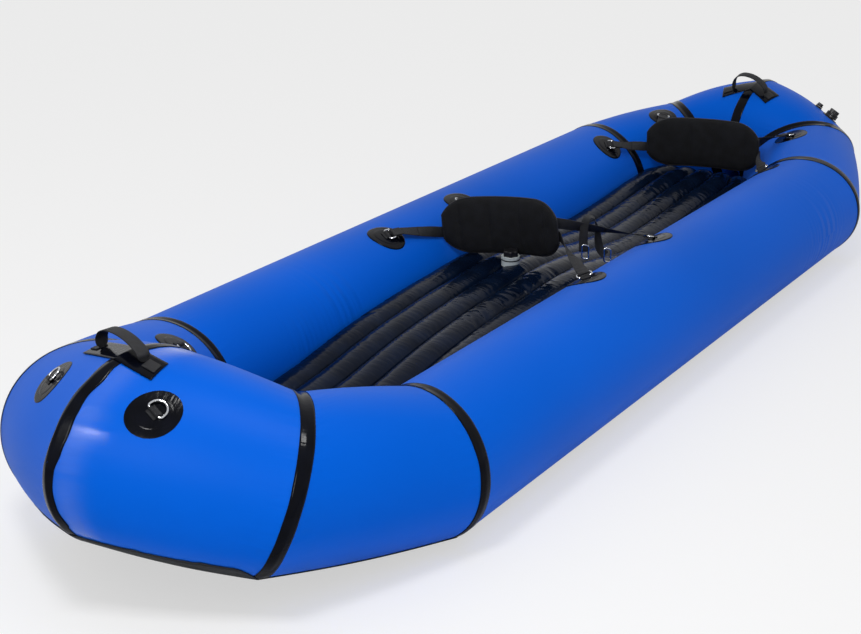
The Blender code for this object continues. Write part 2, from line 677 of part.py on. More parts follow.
def tab_on_hull(place, bar):
    """A folded webbing tab with the bore that the ring's bar turns in."""
    reach = bar.cross(place.normal).normalized()
    bore = RING_WIRE + RING_PLAY
    arch = bore + TAB_WALL
    height = bar_height()
    base = PATCH_LIFT + PATCH_THICKNESS + PATCH_BOSS_RISE
    low = base - TAB_SINK - height
    lip = base + TAB_WALL / 2 - height
    angles = [math.pi * k / TAB_ARCH_STEPS for k in range(TAB_ARCH_STEPS + 1)]
    outline = [(arch * math.cos(angle), arch * math.sin(angle)) for angle in angles]
    outline += [(-TAB_HALF_LENGTH, lip), (-TAB_HALF_LENGTH, low), (0, low), (TAB_HALF_LENGTH, low),
                (TAB_HALF_LENGTH, lip)]
    count = len(outline)
    angles = [math.tau * k / count for k in range(count)]
    hole = [(bore * math.cos(angle), bore * math.sin(angle)) for angle in angles]
    centre = place.point + place.normal * height

    def loop(points, shift):
        return [centre + reach * u + place.normal * v + bar * shift for u, v in points]

    loops = [loop(outline, -TAB_HALF_WIDTH), loop(outline, TAB_HALF_WIDTH), loop(hole, TAB_HALF_WIDTH),
             loop(hole, -TAB_HALF_WIDTH)]
    return skin(loops, closed_ends=True)


def build_patch(name, place, bar):
    patch = add_piece(name, disc_on_hull(place), TAPE_BLACK)
    tab = add_piece(f"{name}_tab_cutter", tab_on_hull(place, bar), TAPE_BLACK)
    tab.hide_render = True
    tab.display_type = "WIRE"
    join = patch.modifiers.new("tab", "BOOLEAN")
    join.operation = "UNION"
    join.object = tab


def sweep_closed(points, plane_normal, radius, sides):
    """A round wire along a closed flat path."""
    loops = []
    count = len(points)
    for k, point in enumerate(points):
        tangent = (points[(k + 1) % count] - points[k - 1]).normalized()
        inward = plane_normal.cross(tangent)
        loop = []
        for s in range(sides):
            angle = math.tau * (s + 0.5) / sides
            loop.append(point + (inward * math.cos(angle) + plane_normal * math.sin(angle)) * radius)
        loops.append(loop)
    return skin(loops, closed_ends=True)


def build_ring(name, centre, bar, reach, outline, sides):
    points = [centre + bar * u + reach * v for u, v in outline]
    wire = sweep_closed(points, bar.cross(reach).normalized(), RING_WIRE, sides)
    add_piece(name, wire, STEEL, origin=centre)


def d_ring_outline():
    half = RING_HALF_WIDTH
    outline = [(-half + RING_CORNER, 0), (half - RING_CORNER, 0), (half, RING_CORNER)]
    steps = 10
    for k in range(steps + 1):
        angle = math.pi * k / steps
        outline.append((half * math.cos(angle), D_RING_LEG + half * math.sin(angle)))
    outline.append((-half, RING_CORNER))
    return outline


def strap_ring_outline():
    half = RING_HALF_WIDTH
    far = STRAP_RING_REACH
    right = [(half - RING_CORNER, 0), (half, RING_CORNER), (half, far - RING_CORNER),
             (half - RING_CORNER, far)]
    return right + [(-u, v) for u, v in reversed(right)]


BOW_RINGS = {
    "bow_right": (Place("bow_panel", BOW_RIGHT_PATCH_SHARE, BOW_PATCH_DEG, 1), 60.0),
    "bow_left": (Place("bow_panel", BOW_LEFT_PATCH_SHARE, BOW_PATCH_DEG, -1), 100.0),
    "bow_inner": (Place("bow_corner", BOW_INNER_PATCH_SHARE, BOW_INNER_PATCH_DEG, -1), 100.0),
}


def build_bow_rings():
    for name, (place, reach_deg) in BOW_RINGS.items():
        angle = math.radians(reach_deg)
        reach = (place.run * math.cos(angle) + place.turn * math.sin(angle)).normalized()
        bar = place.normal.cross(reach).normalized()
        build_patch(f"{name}_patch", place, bar)
        centre = place.point + place.normal * bar_height()
        build_ring(f"{name}_ring", centre, bar, reach, d_ring_outline(), 8)


# Backrests with their straps

def backrest_half_height(u):
    corner = max(0.0, abs(u) - BACKREST_STRAIGHT_SHARE) / (1 - BACKREST_STRAIGHT_SHARE)
    narrowing = (1 - BACKREST_END_SHARE ** 2) * corner ** BACKREST_CORNER_POWER
    return BACKREST_HALF_HEIGHT * math.sqrt(1 - narrowing)


def backrest_half_depth(u, v):
    height_power, width_power, round_power = BACKREST_CROWN_POWERS
    crown = ((1 - abs(v) ** height_power) * (1 - abs(u) ** width_power)) ** round_power
    depth = (BACKREST_THICKNESS - BACKREST_RIM) / 2 * crown
    nearest = min(abs(u - seam) for seam in BACKREST_SEAM_SHARES) * BACKREST_HALF_WIDTH
    groove = max(0.0, 1 - nearest / BACKREST_CHANNEL_HALF_WIDTH)
    return BACKREST_RIM / 2 + max(0.0, depth - BACKREST_CHANNEL_DEPTH * groove * crown)


def backrest_columns():
    """Columns at the ends, at each sewn channel and just beside it."""
    beside = BACKREST_CHANNEL_HALF_WIDTH / BACKREST_HALF_WIDTH
    inner_edge = BACKREST_EDGE_SHARES[0]
    edges = (-1.0,) + BACKREST_SEAM_SHARES + (1.0,)
    columns = [-share for share in reversed(BACKREST_EDGE_SHARES[1:])]
    for left, right in zip(edges, edges[1:]):
        start = left + beside if left > -1 else -inner_edge
        stop = right - beside if right < 1 else inner_edge
        columns += [start, (start + stop) / 2, stop]
        if right < 1:
            columns.append(right)
    return columns + list(BACKREST_EDGE_SHARES[1:])


class Backrest:
    """One pad's own frame: level and across along it, back through it, up over it, and its lowest point."""

    def __init__(self, name, x, y, turn_deg, drop_deg, stand_off):
        self.name = name
        turn = math.radians(turn_deg)
        drop = math.radians(drop_deg)
        self.level = Vector((math.cos(turn), math.sin(turn), 0))
        self.across = self.level * math.cos(drop) + UP * math.sin(drop)
        self.back = UP.cross(self.level)
        self.up = self.across.cross(self.back)
        self.middle = Vector((x, y, 0))
        shares = [2 * k / BACKREST_REST_STEPS - 1 for k in range(BACKREST_REST_STEPS + 1)]
        lower_edge = [self.line(u, -backrest_half_height(u), side * BACKREST_THICKNESS / 2)
                      for u in shares for side in (-1, 1)]
        self.middle.z = stand_off + max(mat_top(point.x, point.y) - point.z for point in lower_edge)
        foot_share = min(backrest_columns(), key=lambda u: self.line(u, -backrest_half_height(u)).z)
        self.foot = self.line(foot_share, -backrest_half_height(foot_share))

    def line(self, u, height, depth=0.0):
        """A point on the arched middle surface, u from -1 to 1 along it, moved back by depth."""
        back = self.back * (depth - BACKREST_SAG * u * u)
        return self.middle + self.across * BACKREST_HALF_WIDTH * u + self.up * height + back


def build_backrest(rest):
    loops = []
    for u in backrest_columns():
        half = backrest_half_height(u)
        front = [rest.line(u, half * v, -backrest_half_depth(u, v)) for v in BACKREST_ROW_SHARES]
        back = [rest.line(u, half * v, backrest_half_depth(u, v)) for v in BACKREST_ROW_SHARES]
        loops.append(front + list(reversed(back)))
    bm = skin(loops)
    ends = [face for face in bm.faces if len(face.verts) > 4]
    bmesh.ops.delete(bm, geom=ends, context="FACES_ONLY")
    bm.verts.ensure_lookup_table()
    count = len(loops[0])
    rows = count // 2
    for first in (0, count * (len(loops) - 1)):
        for k in range(rows - 1):
            bm.faces.new([bm.verts[first + i] for i in (k, k + 1, count - 2 - k, count - 1 - k)])
    add_piece(f"{rest.name}_backrest", bm, FOAM_COVER, origin=rest.foot)


def ribbon(frames, half_width, thickness, finish, name, origin=None):
    """A webbing strip through (point, width direction, width share) frames."""
    loops = []
    last = len(frames) - 1
    for k, (point, width, share) in enumerate(frames):
        ahead = frames[min(k + 1, last)][0]
        behind = frames[max(k - 1, 0)][0]
        tangent = (ahead - behind).normalized()
        side = (width - tangent * width.dot(tangent)).normalized()
        face = side.cross(tangent)
        a = side * half_width * share
        b = face * thickness / 2
        loops.append([point - a - b, point + a - b, point + a + b, point - a + b])
    return add_piece(name, skin(loops), finish, origin=origin)


def strap_eye(bar_point, away, bar):
    """The webbing's sewn tail and its turn round the far bar of a ring."""
    face = bar.cross(away).normalized()
    radius = RING_WIRE + RING_PLAY + WEBBING_THICKNESS / 2
    layer = (WEBBING_THICKNESS + GAP) / 2
    neck = away * radius * 2 + face * (layer + radius) / 2
    far = away * EYE_LENGTH + face * layer
    turned = []
    for k in range(EYE_STEPS + 1):
        angle = math.pi * k / EYE_STEPS
        turned.append(-face * radius * math.cos(angle) - away * radius * math.sin(angle))
    tail = [away * EYE_LENGTH - face * layer, away * radius * 2 - face * (layer + radius) / 2]
    return [(bar_point + offset, bar, 1.0) for offset in tail + turned + [neck, far]]


class StrapEnd:
    """A patch on the tube, the ring in its tab and the direction in which the strap pulls."""

    def __init__(self, place, target):
        self.place = place
        self.centre = place.point + place.normal * bar_height()
        pull = (target - self.centre).normalized()
        level = (pull - place.normal * pull.dot(place.normal)).normalized()
        rise = max(math.asin(pull.dot(place.normal)), math.radians(STRAP_LEAST_RISE_DEG))
        self.away = level * math.cos(rise) + place.normal * math.sin(rise)
        self.bar = place.normal.cross(level)
        self.ring_bar = self.centre + self.away * STRAP_RING_REACH


def strap_side(end, corner, up):
    """One end of a strap, from its sewn tail round the ring and on to the corner of the pad."""
    frames = strap_eye(end.ring_bar, end.away, end.bar)
    start = frames[-1][0]
    for share in STRAP_TWIST_SHARES:
        frames.append((start.lerp(corner, share), end.bar.lerp(up, share).normalized(), 1.0))
    frames.append((corner, up, 1.0))
    return frames


def strap_line(rest, label):
    """The two corners where a strap leaves the pad, and its run across the pad's back between them."""
    height = -STRAP_SPACING if label == "front" else STRAP_SPACING
    depth = (BACKREST_THICKNESS + WEBBING_THICKNESS) / 2 + GAP
    across = [rest.line(share, height, depth) for share in STRAP_BACK_SHARES]
    if label == "rear":
        return {1: across[0], -1: across[-1]}, across[1:-1]
    end_depth = (BACKREST_RIM + WEBBING_THICKNESS) / 2 + STRAP_STAND_OFF
    clear = rest.across * (WEBBING_THICKNESS + STRAP_STAND_OFF)
    return {side: rest.line(side, height, end_depth) + clear * side for side in (1, -1)}, across


def build_strap(rest, label, places):
    """One webbing across the back of the pad, its two ends looped through the rings on the tubes."""
    corners, across = strap_line(rest, label)
    ends = {side: StrapEnd(places[side], corners[side]) for side in (1, -1)}
    frames = strap_side(ends[1], corners[1], rest.up) + [(point, rest.up, 1.0) for point in across]
    frames += list(reversed(strap_side(ends[-1], corners[-1], rest.up)))
    steady = [frames[0]]
    for point, width, share in frames[1:]:
        steady.append((point, width if width.dot(steady[-1][1]) >= 0 else -width, share))
    ribbon(steady, WEBBING_WIDTH / 2, WEBBING_THICKNESS, WEBBING, f"{rest.name}_{label}_strap")
    for side_name, side in SIDES.items():
        end = ends[side]
        name = f"{rest.name}_{label}_{side_name}"
        build_patch(f"{name}_patch", end.place, end.bar)
        build_ring(f"{name}_ring", end.centre, end.bar, end.away, strap_ring_outline(), 6)


RESTS = (
    Backrest("front_seat", FRONT_BACKREST_X, FRONT_BACKREST_Y, FRONT_BACKREST_TURN_DEG,
             FRONT_BACKREST_DROP_DEG, FRONT_BACKREST_STAND_OFF),
    Backrest("rear_seat", REAR_BACKREST_X, REAR_BACKREST_Y, REAR_BACKREST_TURN_DEG,
             REAR_BACKREST_DROP_DEG, REAR_BACKREST_STAND_OFF),
)
STRAP_PLACES = {
    "front_seat": {
        "front": ("side_tube", FRONT_SEAT_FRONT_SHARE, SEAT_PATCH_DEG),
        "rear": ("side_tube", FRONT_SEAT_REAR_SHARE, SEAT_PATCH_DEG)},
    "rear_seat": {
        "front": ("side_tube", REAR_SEAT_FRONT_SHARE, REAR_SEAT_FRONT_DEG),
        "rear": ("stern_corner", REAR_SEAT_REAR_SHARE, REAR_SEAT_REAR_DEG)},
}


def build_seats():
    for rest in RESTS:
        build_backrest(rest)
        for label, spot in STRAP_PLACES[rest.name].items():
            places = {side: Place(*spot, side) for side in (1, -1)}
            build_strap(rest, label, places)


# Carry handles

class HandleSpot:
    """Where a handle crosses the centre seam, and the metres along and around its patch from there."""

    def __init__(self, panel, share, angle_deg, half_span, height, offset, sweeps):
        self.place = Place(panel, share, angle_deg)
        self.half_span = half_span
        self.height = height
        self.offset = offset
        self.sweeps = sweeps

    def at(self, u, v, lift):
        along = u + self.offset
        sweep = self.sweeps[1] if along > 0 else self.sweeps[0]
        return self.place.at(along, v - sweep * abs(along), lift)

    def feet(self):
        """The two places where the webbing leaves its patch, left one first."""
        lift = HANDLE_PATCH_LIFT + HANDLE_PATCH_THICKNESS
        feet = [self.at(side * self.half_span, 0, lift) for side in (1, -1)]
        return sorted(feet, key=lambda point: point.x)


HANDLES = {
    "bow": HandleSpot("bow_panel", 0.0, BOW_HANDLE_DEG, BOW_HANDLE_HALF_SPAN, BOW_HANDLE_HEIGHT,
                      BOW_HANDLE_OFFSET, BOW_HANDLE_SWEEPS),
    "stern": HandleSpot("stern_panel", 1.0, STERN_HANDLE_DEG, STERN_HANDLE_HALF_SPAN, STERN_HANDLE_HEIGHT,
                        STERN_HANDLE_OFFSET, STERN_HANDLE_SWEEPS),
}


def build_handle_patch(name, spot):
    """A rectangular patch across the centre seam, with the two sewn ends of the webbing on it."""
    step = GAP
    foot_in = spot.half_span + HANDLE_THICKNESS
    foot_out = foot_in + HANDLE_FOOT_LENGTH
    edges = [foot_in, foot_in + step, foot_out - step, foot_out]
    plain = [foot_out + HANDLE_PATCH_MARGIN, spot.half_span * 2 / 3, spot.half_span / 3]
    positive = edges + plain
    columns = sorted([-u for u in positive] + positive + [-spot.offset])
    half_webbing = WEBBING_WIDTH / 2
    rows = [-HANDLE_PATCH_HALF_WIDTH, -half_webbing - step, -half_webbing, 0.0, half_webbing,
            half_webbing + step, HANDLE_PATCH_HALF_WIDTH]

    def lift(u, v):
        on_foot = foot_in + step / 2 < abs(u) < foot_out - step / 2 and abs(v) < half_webbing + step / 2
        return HANDLE_PATCH_LIFT + HANDLE_PATCH_THICKNESS + (HANDLE_THICKNESS if on_foot else 0.0)

    loops = []
    for u in columns:
        top = [spot.at(u, v, lift(u, v)) for v in rows]
        under = [spot.at(u, v, HANDLE_PATCH_LIFT) for v in (rows[-1], rows[3], rows[0])]
        loops.append(top + under)
    add_piece(name, skin(loops), TAPE_BLACK)


def handle_frame(spot):
    """Middle of a handle's feet, the axis through them, the webbing's width, upright, and half the span."""
    left, right = spot.feet()
    axis = (right - left).normalized()
    depth = Vector((0, spot.place.normal.y, spot.place.normal.z)).cross(axis).normalized()
    upright = axis.cross(depth)
    middle = (left + right) / 2 + upright * (WEBBING_WIDTH / 2 + HANDLE_FOOT_GAP)
    return middle, axis, depth, upright, (right - left).length / 2


def build_handle(prefix, spot):
    """A webbing loop that stands on its patch and flops about the line through its two feet."""
    build_handle_patch(f"{prefix}_handle_patch", spot)
    half = WEBBING_WIDTH / 2
    middle, axis, depth, upright, span = handle_frame(spot)

    def end_frame(side, share):
        width = max(HANDLE_END_NARROWEST_SHARE, math.sqrt(1 - share * share))
        return middle + axis * span * side + upright * half * share, depth, width

    frames = [end_frame(-1, share) for share in HANDLE_END_SHARES]
    for along, rise in zip(HANDLE_ARCH_SHARES, HANDLE_RISE_SHARES):
        frames.append((middle + axis * span * along + upright * spot.height * rise, depth, 1.0))
    frames += [end_frame(1, share) for share in reversed(HANDLE_END_SHARES)]
    ribbon(frames, half, HANDLE_THICKNESS, WEBBING, f"{prefix}_handle", origin=middle)


build_hull()
build_floor_sheet()
build_floor_mat()
build_valves()
build_bow_rings()
build_seats()
for handle_name, handle_spot in HANDLES.items():
    build_handle(handle_name, handle_spot)
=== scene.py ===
"""Two-seat packraft: a ring of ten welded tubes with taped seams, an inflatable floor and two backrests."""
import math

import bmesh
import bpy
from mathutils import Matrix, Vector, noise


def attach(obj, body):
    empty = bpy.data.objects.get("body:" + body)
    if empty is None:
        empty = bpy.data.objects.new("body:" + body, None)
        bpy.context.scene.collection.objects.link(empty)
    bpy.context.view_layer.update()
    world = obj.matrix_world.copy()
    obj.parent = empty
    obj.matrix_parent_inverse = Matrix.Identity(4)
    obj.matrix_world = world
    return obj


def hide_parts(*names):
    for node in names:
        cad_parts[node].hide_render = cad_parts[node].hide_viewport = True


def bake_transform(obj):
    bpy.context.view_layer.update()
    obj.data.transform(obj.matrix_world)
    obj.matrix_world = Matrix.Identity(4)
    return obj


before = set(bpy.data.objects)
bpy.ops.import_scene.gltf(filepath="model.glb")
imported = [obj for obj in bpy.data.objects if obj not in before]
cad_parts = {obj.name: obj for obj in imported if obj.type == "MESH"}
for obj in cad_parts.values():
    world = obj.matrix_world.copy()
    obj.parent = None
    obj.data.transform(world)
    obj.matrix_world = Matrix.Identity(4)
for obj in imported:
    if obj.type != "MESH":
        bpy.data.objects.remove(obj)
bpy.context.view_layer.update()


# Camera, light and ground
# A long lens a little above the raft, off its port bow. The light is a pale room with one lamp over the
# bow. Two windows only show as reflections, small glints on the taped seams and beside the bow tape.
CAMERA_AT = (1.8928, -3.2073, 1.5393)
CAMERA_YAW = 0.5904
CAMERA_PITCH = 0.3736
CAMERA_ROLL = -0.008
PICTURE_WIDTH = 861
PICTURE_HEIGHT = 634
FOCAL_PIXELS = 1713.9
ROOM_LIGHT = 0.60
GROUND_GLOW = 0.57

scene = bpy.context.scene
scene.render.resolution_x = PICTURE_WIDTH
scene.render.resolution_y = PICTURE_HEIGHT
scene.view_settings.view_transform = "Standard"

level_share = math.cos(CAMERA_PITCH)
forward = Vector((-math.sin(CAMERA_YAW) * level_share, math.cos(CAMERA_YAW) * level_share,
                  -math.sin(CAMERA_PITCH)))
rightward = forward.cross(Vector((0, 0, 1))).normalized()
upward = rightward.cross(forward)
rightward.rotate(Matrix.Rotation(-CAMERA_ROLL, 3, forward))
upward.rotate(Matrix.Rotation(-CAMERA_ROLL, 3, forward))
lens = bpy.data.cameras.new("camera")
lens.sensor_width = 36
lens.lens = FOCAL_PIXELS / PICTURE_WIDTH * lens.sensor_width
camera = bpy.data.objects.new("camera", lens)
scene.collection.objects.link(camera)
camera_turn = Matrix((rightward, upward, -forward)).transposed().to_4x4()
camera.matrix_world = Matrix.Translation(CAMERA_AT) @ camera_turn
scene.camera = camera


def feed(tree, made, sockets):
    """Feed a node's sockets with values or with other nodes' outputs."""
    for name, value in sockets.items():
        key = int(name[1:]) if name[0] == "_" else name.replace("_", " ")
        if isinstance(value, bpy.types.NodeSocket):
            tree.links.new(value, made.inputs[key])
        else:
            made.inputs[key].default_value = value
    return made


def node(tree, kind, settings=(), **sockets):
    """A shader node with its settings and its sockets."""
    made = tree.nodes.new("ShaderNode" + kind)
    for name, value in dict(settings).items():
        setattr(made, name, value)
    return feed(tree, made, sockets)


def maths(tree, operation, *values):
    """The result of one sum, from numbers or from other nodes' outputs."""
    fed = {f"_{k}": value for k, value in enumerate(values)}
    return node(tree, "Math", {"operation": operation}, **fed).outputs[0]


def plain_material(name, **levels):
    """A material with its shader, whose plain levels are named with _ for a space."""
    material = bpy.data.materials.new(name)
    material.use_nodes = True
    shader = material.node_tree.nodes["Principled BSDF"]
    for label, value in levels.items():
        shader.inputs[label.replace("_", " ")].default_value = value
    return material, material.node_tree, shader


def link(tree, output, shader, name):
    tree.links.new(output, shader.inputs[name])


room = bpy.data.worlds.new("room")
room.use_nodes = True
scene.world = room
room_tree = room.node_tree
room_tree.nodes.clear()
ray = node(room_tree, "LightPath").outputs
bounced = maths(room_tree, "MAXIMUM", ray["Is Glossy Ray"], ray["Is Transmission Ray"])
seen = maths(room_tree, "MAXIMUM", ray["Is Camera Ray"], bounced)
level = node(room_tree, "Mix", _0=seen, _2=ROOM_LIGHT, _3=1.0).outputs[0]
sky = node(room_tree, "Background", Color=(1, 1, 1, 1), Strength=level)
node(room_tree, "OutputWorld", Surface=sky.outputs[0])


def lamp(name, at, towards, size, power, only_mirrored):
    data = bpy.data.lights.new(name, "AREA")
    data.shape = "RECTANGLE"
    data.size, data.size_y = size
    data.energy = power
    made = bpy.data.objects.new(name, data)
    scene.collection.objects.link(made)
    aim = Vector(towards) - Vector(at)
    made.matrix_world = Matrix.Translation(at) @ aim.to_track_quat("-Z", "Y").to_matrix().to_4x4()
    made.visible_diffuse = not only_mirrored
    made.visible_glossy = only_mirrored


lamp("overhead", (0.6, -2.3, 2.7), (0.0, -0.9, 0), (0.6, 0.6), 33, False)
lamp("roof_window", (0.82, -0.49, 3.72), (0.31, -1.21, 0.33), (0.85, 0.85), 130, True)
lamp("bow_window", (1.24, -3.42, 2.15), (0.02, -1.45, 0.36), (0.45, 1.30), 100, True)

ground_mesh = bpy.data.meshes.new("ground")
bm = bmesh.new()
bmesh.ops.create_grid(bm, x_segments=1, y_segments=1, size=30)
bm.to_mesh(ground_mesh)
bm.free()
ground = bpy.data.objects.new("ground", ground_mesh)
scene.collection.objects.link(ground)
pale_ground, tree, shader = plain_material("pale_ground", Roughness=0.9, Specular_IOR_Level=0.0,
                                           Emission_Color=(1, 1, 1, 1))
# The camera sees the ground near white with the boat's shadow on it
seen = node(tree, "LightPath").outputs["Is Camera Ray"]
ground_colour = node(tree, "Mix", {"data_type": "RGBA"}, _0=seen, _6=(0.90, 0.90, 0.90, 1),
                     _7=(0.42, 0.42, 0.42, 1))
link(tree, ground_colour.outputs[2], shader, "Base Color")
link(tree, maths(tree, "MULTIPLY", seen, GROUND_GLOW), shader, "Emission Strength")
ground_mesh.materials.append(pale_ground)


# Hull tubes
# Five tubes down each side of the boat, cut from coated nylon and welded end to end into one ring. Every
# seam is an ellipse in its own tilted plane; a tube runs from one ellipse to the next and swells a little.
FABRIC = 0.0010
HULL_LIFT = 0.0031
ROUND_STEPS = 144
SEAM_EASE = 0.013
LEAST_LIFT = 0.0005
STEEPEST_EASE = 0.4
WELD_GAP = 0.00002
UP = Vector((0, 0, 1))
# Right and left as seen from in front of the bow, so right is the boat's port side
SIDES = {"right": 1, "left": -1}


class Seam:
    """One welded ring: its plane, its two half sizes and its centre."""

    def __init__(self, x, y, rise, half_breadth, half_height, turn_deg, lean_deg):
        turn = math.radians(turn_deg)
        lean = math.radians(lean_deg)
        run = Vector((math.cos(turn) * math.cos(lean), math.sin(turn) * math.cos(lean), math.sin(lean)))
        self.out = run.cross(UP).normalized()
        self.up = self.out.cross(run)
        self.centre = Vector((x, y, HULL_LIFT + rise + half_height * self.up.z))
        self.half_breadth = half_breadth
        self.half_height = half_height

    def point(self, angle):
        across = self.out * self.half_breadth * math.cos(angle)
        return self.centre + across + self.up * self.half_height * math.sin(angle)

    def turning(self, angle):
        return self.up * self.half_height * math.cos(angle) - self.out * self.half_breadth * math.sin(angle)

    def distance(self, point):
        return abs((point - self.centre).dot(self.out.cross(self.up)))


BOW_TIP = Seam(0, -1.292, 0.108, 0.208, 0.166, 0, 0)
BOW_SEAM = Seam(0.210, -1.175, 0.052, 0.171, 0.160, 45.4, -20.2)
SHOULDER = Seam(0.313, -0.871, 0, 0.148, 0.145, 80.9, -2.6)
HIP = Seam(0.302, 0.950, 0, 0.145, 0.142, 102.7, 9.6)
QUARTER = Seam(0.1585, 1.258, 0.017, 0.164, 0.151, 136.2, 24.4)
STERN_TIP = Seam(0, 1.328, 0.117, 0.172, 0.124, 180, 0)
# Each tube's two seams, its swell between them and its rows of faces
TUBES = {"bow_panel": (BOW_TIP, BOW_SEAM, 0.009, 28), "bow_corner": (BOW_SEAM, SHOULDER, 0.006, 36),
         "side_tube": (SHOULDER, HIP, 0.0, 120), "stern_corner": (HIP, QUARTER, 0.007, 36),
         "stern_panel": (QUARTER, STERN_TIP, 0.016, 28)}
ORDER = list(TUBES)
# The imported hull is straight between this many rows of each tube
PACKED_ROWS = {"bow_panel": 2, "bow_corner": 2, "side_tube": 1, "stern_corner": 2, "stern_panel": 4}
# Slack places in the cloth away from the seams, and how wide each is
SLACK_SPOTS = (((-0.191, -0.452, 0.227), 0.075), ((-0.195, -0.60, 0.19), 0.05), ((0.445, 0.747, 0.149), 0.09))
# How strongly the cloth puckers at a seam, how far that reaches, and where the bow shines beside its tape
PUCKER = 0.45
PUCKER_REACH = 0.040
SHINE_AT = 0.028
SHINE_REACH = 0.020


def tube_line(tube, share, angle):
    """Point, run and turn on the line from seam to seam, the way out of it and its full swell."""
    near, far, swell, _ = TUBES[tube]
    run = far.point(angle) - near.point(angle)
    turn = near.turning(angle).lerp(far.turning(angle), share)
    swell *= run.length / (far.point(0) - near.point(0)).length
    return near.point(angle).lerp(far.point(angle), share), run, turn, run.cross(turn).normalized(), swell


def hull_skin(tube, share, angle, side=1):
    """Point, outward normal, run and turn directions at a share of a tube's length."""
    point, run, turn, straight, swell = tube_line(tube, share, angle)
    point += straight * swell * math.sin(math.pi * share)
    sloped = run + straight * swell * math.pi * math.cos(math.pi * share)
    normal = sloped.cross(turn).normalized()
    mirror = Vector((side, 1, 1))
    return point * mirror, normal * mirror, run * mirror, turn * mirror


def packed_skin(tube, share, angle, side):
    """Point, normal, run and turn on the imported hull, where the moving pieces have their hinges."""
    point, run, turn, straight, swell = tube_line(tube, share, angle)
    rows = PACKED_ROWS[tube]
    row = min(math.floor(share * rows), rows - 1)
    before, after = math.sin(math.pi * row / rows), math.sin(math.pi * (row + 1) / rows)
    point += straight * swell * (before + (after - before) * (share * rows - row))
    mirror = Vector((side, 1, 1))
    return point * mirror, straight * mirror, run * mirror, turn * mirror


def neighbour(tube, side, end):
    """The tube, side and share that meet a tube at its near end 0 or its far end 1."""
    k = ORDER.index(tube) + (1 if end else -1)
    if 0 <= k < len(ORDER):
        return ORDER[k], side, 1 - end
    return tube, -side, end


def on_hull(tube, share, angle, side=1, lift=0.0):
    """A point held off the skin and its eased normal; past a tube's end it goes on along the next tube."""
    if share < 0 or share > 1:
        past = (-share if share < 0 else share - 1) * hull_skin(tube, 0.5, angle)[2].length
        tube, side, end = neighbour(tube, side, 0 if share < 0 else 1)
        share = abs(end - past / hull_skin(tube, 0.5, angle)[2].length)
    point, normal, run, _ = hull_skin(tube, share, angle, side)
    eased = normal
    for end in (0, 1):
        near = abs(end - share) * run.length / SEAM_EASE
        if near < 1:
            beyond_tube, beyond_side, beyond_end = neighbour(tube, side, end)
            beyond = hull_skin(beyond_tube, beyond_end, angle, beyond_side)[1]
            eased = normal.lerp(beyond, 0.5 * (1 - near)).normalized()
    return point + eased * lift / max(STEEPEST_EASE, eased.dot(normal)), eased


class Place:
    """A spot on the hull that pieces are laid out from, in metres along and around the tube."""

    def __init__(self, tube, share, angle_deg, side=1):
        self.tube, self.share, self.side = tube, share, side
        self.angle = math.radians(angle_deg)
        self.point, self.normal, run, turn = packed_skin(tube, share, self.angle, side)
        self.run_length, self.turn_rate = run.length, turn.length
        self.run, self.turn = run.normalized(), turn.normalized()
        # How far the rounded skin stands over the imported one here
        self.fuller = (hull_skin(tube, share, self.angle, side)[0] - self.point).dot(self.normal)

    def at(self, along, around, lift):
        share = self.share + along / self.run_length
        lift = max(LEAST_LIFT, lift - self.fuller)
        return on_hull(self.tube, share, self.angle + around / self.turn_rate, self.side, lift)


def finish_piece(name, bm, material, body, *nodes, smooth=True):
    """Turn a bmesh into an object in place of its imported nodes."""
    mesh = bpy.data.meshes.new(name)
    bm.to_mesh(mesh)
    bm.free()
    if smooth:
        mesh.shade_smooth()
    mesh.materials.append(material)
    piece = bpy.data.objects.new(name, mesh)
    scene.collection.objects.link(piece)
    if body:
        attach(piece, body)
    if nodes:
        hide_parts(*nodes)
    return piece


def spread_grid(columns, rows, spread):
    """A flat grid laid out by spread(u, v), which gives point, outward normal and flat place in metres."""
    bm = bmesh.new()
    bmesh.ops.create_grid(bm, x_segments=columns, y_segments=rows, size=0.5)
    layout = bm.loops.layers.uv.new("flat")
    outward = {}
    for vert in bm.verts:
        point, normal, flat = spread(vert.co.x + 0.5, vert.co.y + 0.5)
        for loop in vert.link_loops:
            loop[layout].uv = flat
        vert.co = point
        outward[vert.index] = normal
    bm.normal_update()
    if sum(face.normal.dot(outward[face.verts[0].index]) for face in bm.faces) < 0:
        bmesh.ops.reverse_faces(bm, faces=bm.faces)
    bmesh.ops.remove_doubles(bm, verts=bm.verts, dist=WELD_GAP)
    return bm


def thicken(piece, thickness, offset=1.0):
    wall = piece.modifiers.new("wall", "SOLIDIFY")
    wall.thickness = thickness
    wall.offset = offset


def close_ends(bm):
    bmesh.ops.holes_fill(bm, edges=[edge for edge in bm.edges if edge.is_boundary], sides=0)


def shared_group(name, inputs, result):
    """A node group with its inputs by name and kind, and a result of the same kind as one of them."""
    made = bpy.data.node_groups.new(name, "ShaderNodeTree")
    for label, kind in inputs.items():
        made.interface.new_socket(label, in_out="INPUT", socket_type="NodeSocket" + kind)
    made.interface.new_socket(result, in_out="OUTPUT", socket_type="NodeSocket" + inputs[result])
    return made, made.nodes.new("NodeGroupInput").outputs, made.nodes.new("NodeGroupOutput").inputs


